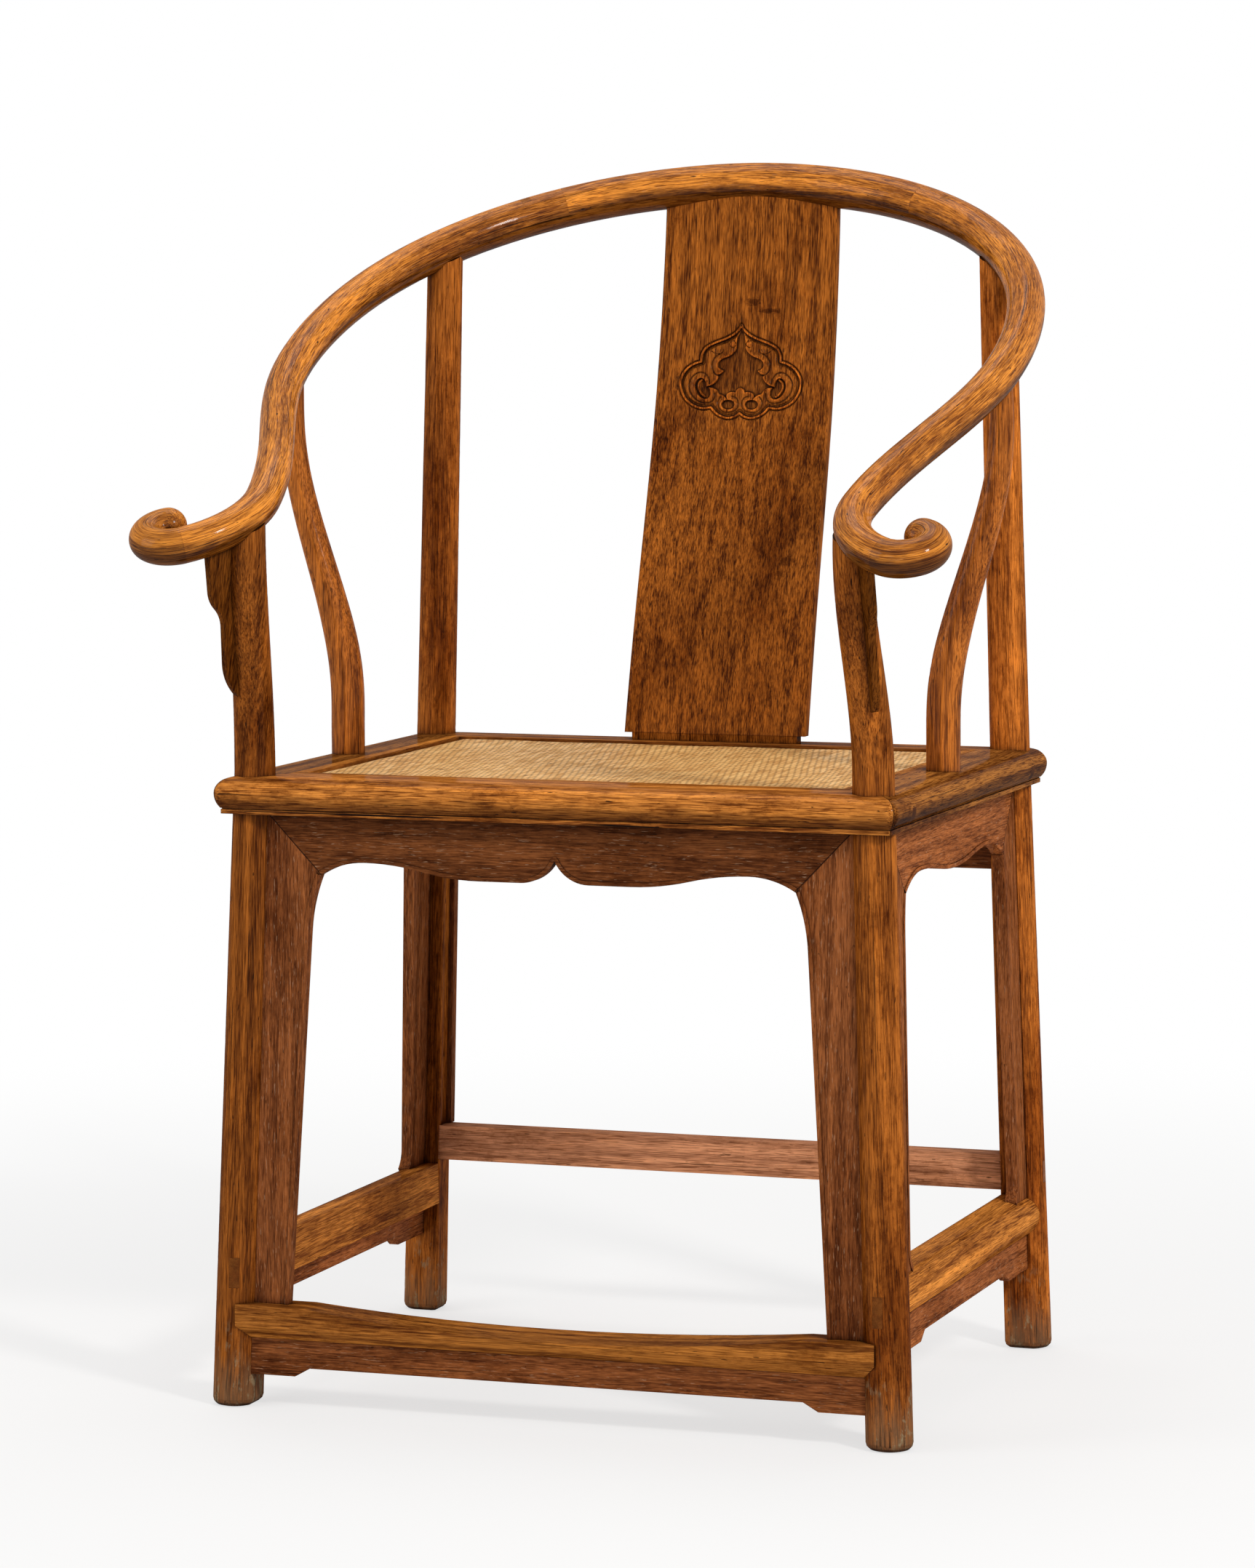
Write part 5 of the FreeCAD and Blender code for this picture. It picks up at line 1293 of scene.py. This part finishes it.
def apron_mitre(node, axis, across):
    """The joint between an apron and its boards: middle, spot on the joint, direction across."""
    low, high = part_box(node)
    middle, spot = Vector((0.0, 0.0, 0.0)), Vector((0.0, 0.0, high.z))
    middle_along = (getattr(low, axis) + getattr(high, axis)) / 2
    setattr(middle, axis, middle_along)
    setattr(spot, axis, getattr(high, axis) - middle_along)
    return middle, spot, across


class ARMCHAIR_OT_aprons(bpy.types.Operator):
    """Finish the aprons and the boards that run down the legs"""

    bl_idname = "armchair.aprons"
    bl_label = "Aprons"

    def execute(self, context):
        front = apron_mitre("front_apron", "x", FRONT_APRON_MITRE)
        side = apron_mitre("side_apron_right", "y", SIDE_APRON_MITRE)
        side_boards = both("side_apron_front_flange") + both("side_apron_rear_flange")
        # The front apron's low tone is partly painted shade under the seat's front, and the high
        # tones of the side aprons and their boards partly painted light from the lamp on the right.
        for number, (name, grain, nodes, tone, joint) in enumerate((
            ("front_apron", (1, 0, 0), ["front_apron"], 0.62, front),
            ("front_flanges", (0, 0, 1), both("front_apron_flange"), 0.95, front),
            ("side_aprons", (0, 1, 0), both("side_apron"), 1.35, side),
            ("side_flanges", (0, 0, 1), side_boards, 1.1, side),
            ("rear_apron", (1, 0, 0), ["rear_apron"], 1.0, None),
            ("rear_flanges", (0, 0, 1), both("rear_apron_flange"), 1.0, None),
            ("foot_rail_apron", (1, 0, 0), ["foot_rail_apron"], 0.9, None),
            ("side_stretcher_aprons", (0, 1, 0), both("side_stretcher_apron"), 1.3, None),
        )):
            dress(nodes, hardwood(
                name, "apron", grain, (0.17 * number, 0.29 * number, 0.43), tone=tone, length=1.5,
                figure=0.25, pores=0.6, patina=0.6, flecks=0.45, joint=joint))
        return {"FINISHED"}


class ARMCHAIR_OT_stretchers(bpy.types.Operator):
    """Finish the foot rail and the stretchers between the legs"""

    bl_idname = "armchair.stretchers"
    bl_label = "Foot Rail and Stretchers"

    def execute(self, context):
        # The side stretchers' higher tone is partly painted light from the lamp on the right.
        for number, (name, kind, grain, nodes, tone) in enumerate((
            ("foot_rail", "seat", (1, 0, 0), ["foot_rail"], 0.75),
            ("side_stretchers", "seat", (0, 1, 0), both("side_stretcher"), 1.15),
            ("rear_stretcher", "rear_stretcher", (1, 0, 0), ["rear_stretcher"], 1.0),
        )):
            dress(nodes, hardwood(
                name, kind, grain, (0.51, 0.19 * number, 0.07), figure=0.5, pores=0.7,
                patina=0.6, tone=tone))
        return {"FINISHED"}


def light_panel(name, place, size, power, colour):
    """A soft rectangular lamp that looks at the middle of the chair."""
    lamp = bpy.data.lights.new(name, "AREA")
    lamp.shape = "RECTANGLE"
    lamp.size, lamp.size_y = size
    lamp.energy = power
    lamp.color = colour
    holder = bpy.data.objects.new(name, lamp)
    holder.location = place
    holder.rotation_mode = "QUATERNION"
    middle = Vector((0.0, 0.0, SEAT_TOP))
    holder.rotation_quaternion = (Vector(place) - middle).to_track_quat("Z", "Y")
    bpy.context.scene.collection.objects.link(holder)


def seen_share(t):
    """1 for the rays that show the background: from the camera, in gloss or through glass."""
    path = t.add("ShaderNodeLightPath").outputs
    seen = t.maths("MAXIMUM", path["Is Camera Ray"], path["Is Glossy Ray"])
    return t.maths("MAXIMUM", seen, path["Is Transmission Ray"])


def pale_floor(side):
    """A floor of white paper that keeps the shadow and turns to plain white far away."""
    half = side / 2
    corners = [(-half, -half, 0), (half, -half, 0), (half, half, 0), (-half, half, 0)]
    floor = new_piece("studio_floor", corners, [(0, 1, 2, 3)], smooth=False)
    material = bpy.data.materials.new("studio_floor")
    t = emptied(material)
    # Two thirds of what shows under the chair is plain white, and from 1.9 m on all of it
    far = t.span(t.vector("LENGTH", t.here()), 0.55, 1.9, 0.66, 1.0, smooth=True)
    share = t.times(far, seen_share(t))
    paper = t.add("ShaderNodeBsdfDiffuse", {"Color": (0.92, 0.92, 0.92)}).outputs[0]
    white = t.add("ShaderNodeEmission", {"Color": (1.0, 1.0, 1.0), "Strength": 1.0}).outputs[0]
    surface = t.add("ShaderNodeMixShader", {0: share, 1: paper, 2: white})
    t.add("ShaderNodeOutputMaterial", {"Surface": surface.outputs[0]})
    floor.data.materials.append(material)


def white_surround(strength):
    """Even light from all sides, with a white background for the camera."""
    world = bpy.data.worlds.new("studio_surround")
    t = emptied(world)
    soft, white = (
        t.add("ShaderNodeBackground", {"Color": colour, "Strength": power}).outputs[0]
        for colour, power in (((1.0, 0.99, 0.975), strength), ((1.0, 1.0, 1.0), 1.0))
    )
    surface = t.add("ShaderNodeMixShader", {0: seen_share(t), 1: soft, 2: white})
    t.add("ShaderNodeOutputWorld", {"Surface": surface.outputs[0]})
    return world


def photo_camera(lens):
    """The camera at the photograph's place and angle."""
    data = bpy.data.cameras.new("camera")
    data.lens = lens
    data.sensor_width = 36.0
    data.clip_end = 100.0
    camera = bpy.data.objects.new("camera", data)
    turn, pitch, roll = (math.radians(angle) for angle in CAMERA_ANGLES)
    ahead = Vector((
        -math.sin(turn) * math.cos(pitch), math.cos(turn) * math.cos(pitch), -math.sin(pitch)))
    right = Vector((math.cos(turn), math.sin(turn), 0.0))
    level = right * math.cos(roll) + right.cross(ahead) * math.sin(roll)
    pose = Matrix((level, level.cross(ahead), -ahead)).transposed().to_4x4()
    pose.translation = CAMERA_PLACE
    camera.matrix_world = pose
    return camera


class ARMCHAIR_OT_stage(bpy.types.Operator):
    """Set the pale floor, the white surround, the soft lamps and the camera"""

    bl_idname = "armchair.stage"
    bl_label = "Studio"

    def execute(self, context):
        studio = context.scene.armchair_studio
        pale_floor(studio.floor_size)
        context.scene.world = white_surround(studio.world_strength)
        key, fill = studio.key_power, studio.fill_power
        for lamp in (
            ("key_light", (2.7, -1.9, 2.4), (0.45, 0.55), key, (1.0, 0.97, 0.93)),
            ("fill_light", (-2.4, -1.9, 1.7), (1.4, 1.8), fill, (1.0, 0.98, 0.95)),
            ("top_light", (-0.3, 0.6, 2.9), (1.6, 1.6), fill * 0.9, (1.0, 1.0, 1.0)),
        ):
            light_panel(*lamp)
        camera = photo_camera(studio.lens)
        context.scene.collection.objects.link(camera)
        context.scene.camera = camera
        context.scene.view_settings.view_transform = "Standard"
        return {"FINISHED"}


class ARMCHAIR_PT_panel(bpy.types.Panel):
    """Lists the steps and settings of the armchair"""

    bl_idname = "ARMCHAIR_PT_panel"
    bl_label = "Horseshoe Back Armchair"
    bl_space_type = "VIEW_3D"
    bl_region_type = "UI"
    bl_category = "Armchair"

    def draw(self, context):
        for operator in OPERATORS:
            self.layout.operator(operator.bl_idname)
        for attribute, kind in SETTINGS:
            box = self.layout.box()
            for name in kind.__annotations__:
                box.prop(getattr(context.scene, attribute), name)


SETTINGS = (
    ("armchair_wood", WoodFinish),
    ("armchair_seat", SeatWeave),
    ("armchair_carving", SplatCarving),
    ("armchair_studio", Studio),
)
OPERATORS = (
    ARMCHAIR_OT_stage,
    ARMCHAIR_OT_rail,
    ARMCHAIR_OT_legs,
    ARMCHAIR_OT_splat,
    ARMCHAIR_OT_seat,
    ARMCHAIR_OT_mat,
    ARMCHAIR_OT_aprons,
    ARMCHAIR_OT_stretchers,
)


def register():
    for attribute, kind in SETTINGS:
        bpy.utils.register_class(kind)
        setattr(bpy.types.Scene, attribute, PointerProperty(type=kind))
    for kind in (*OPERATORS, ARMCHAIR_PT_panel):
        bpy.utils.register_class(kind)


def unregister():
    for kind in (ARMCHAIR_PT_panel, *reversed(OPERATORS)):
        bpy.utils.unregister_class(kind)
    for attribute, kind in reversed(SETTINGS):
        delattr(bpy.types.Scene, attribute)
        bpy.utils.unregister_class(kind)


def main():
    """Builds the whole armchair."""
    register()
    for operator in OPERATORS:
        group, name = operator.bl_idname.split(".")
        getattr(getattr(bpy.ops, group), name)()


if __name__ == "__main__":
    main()
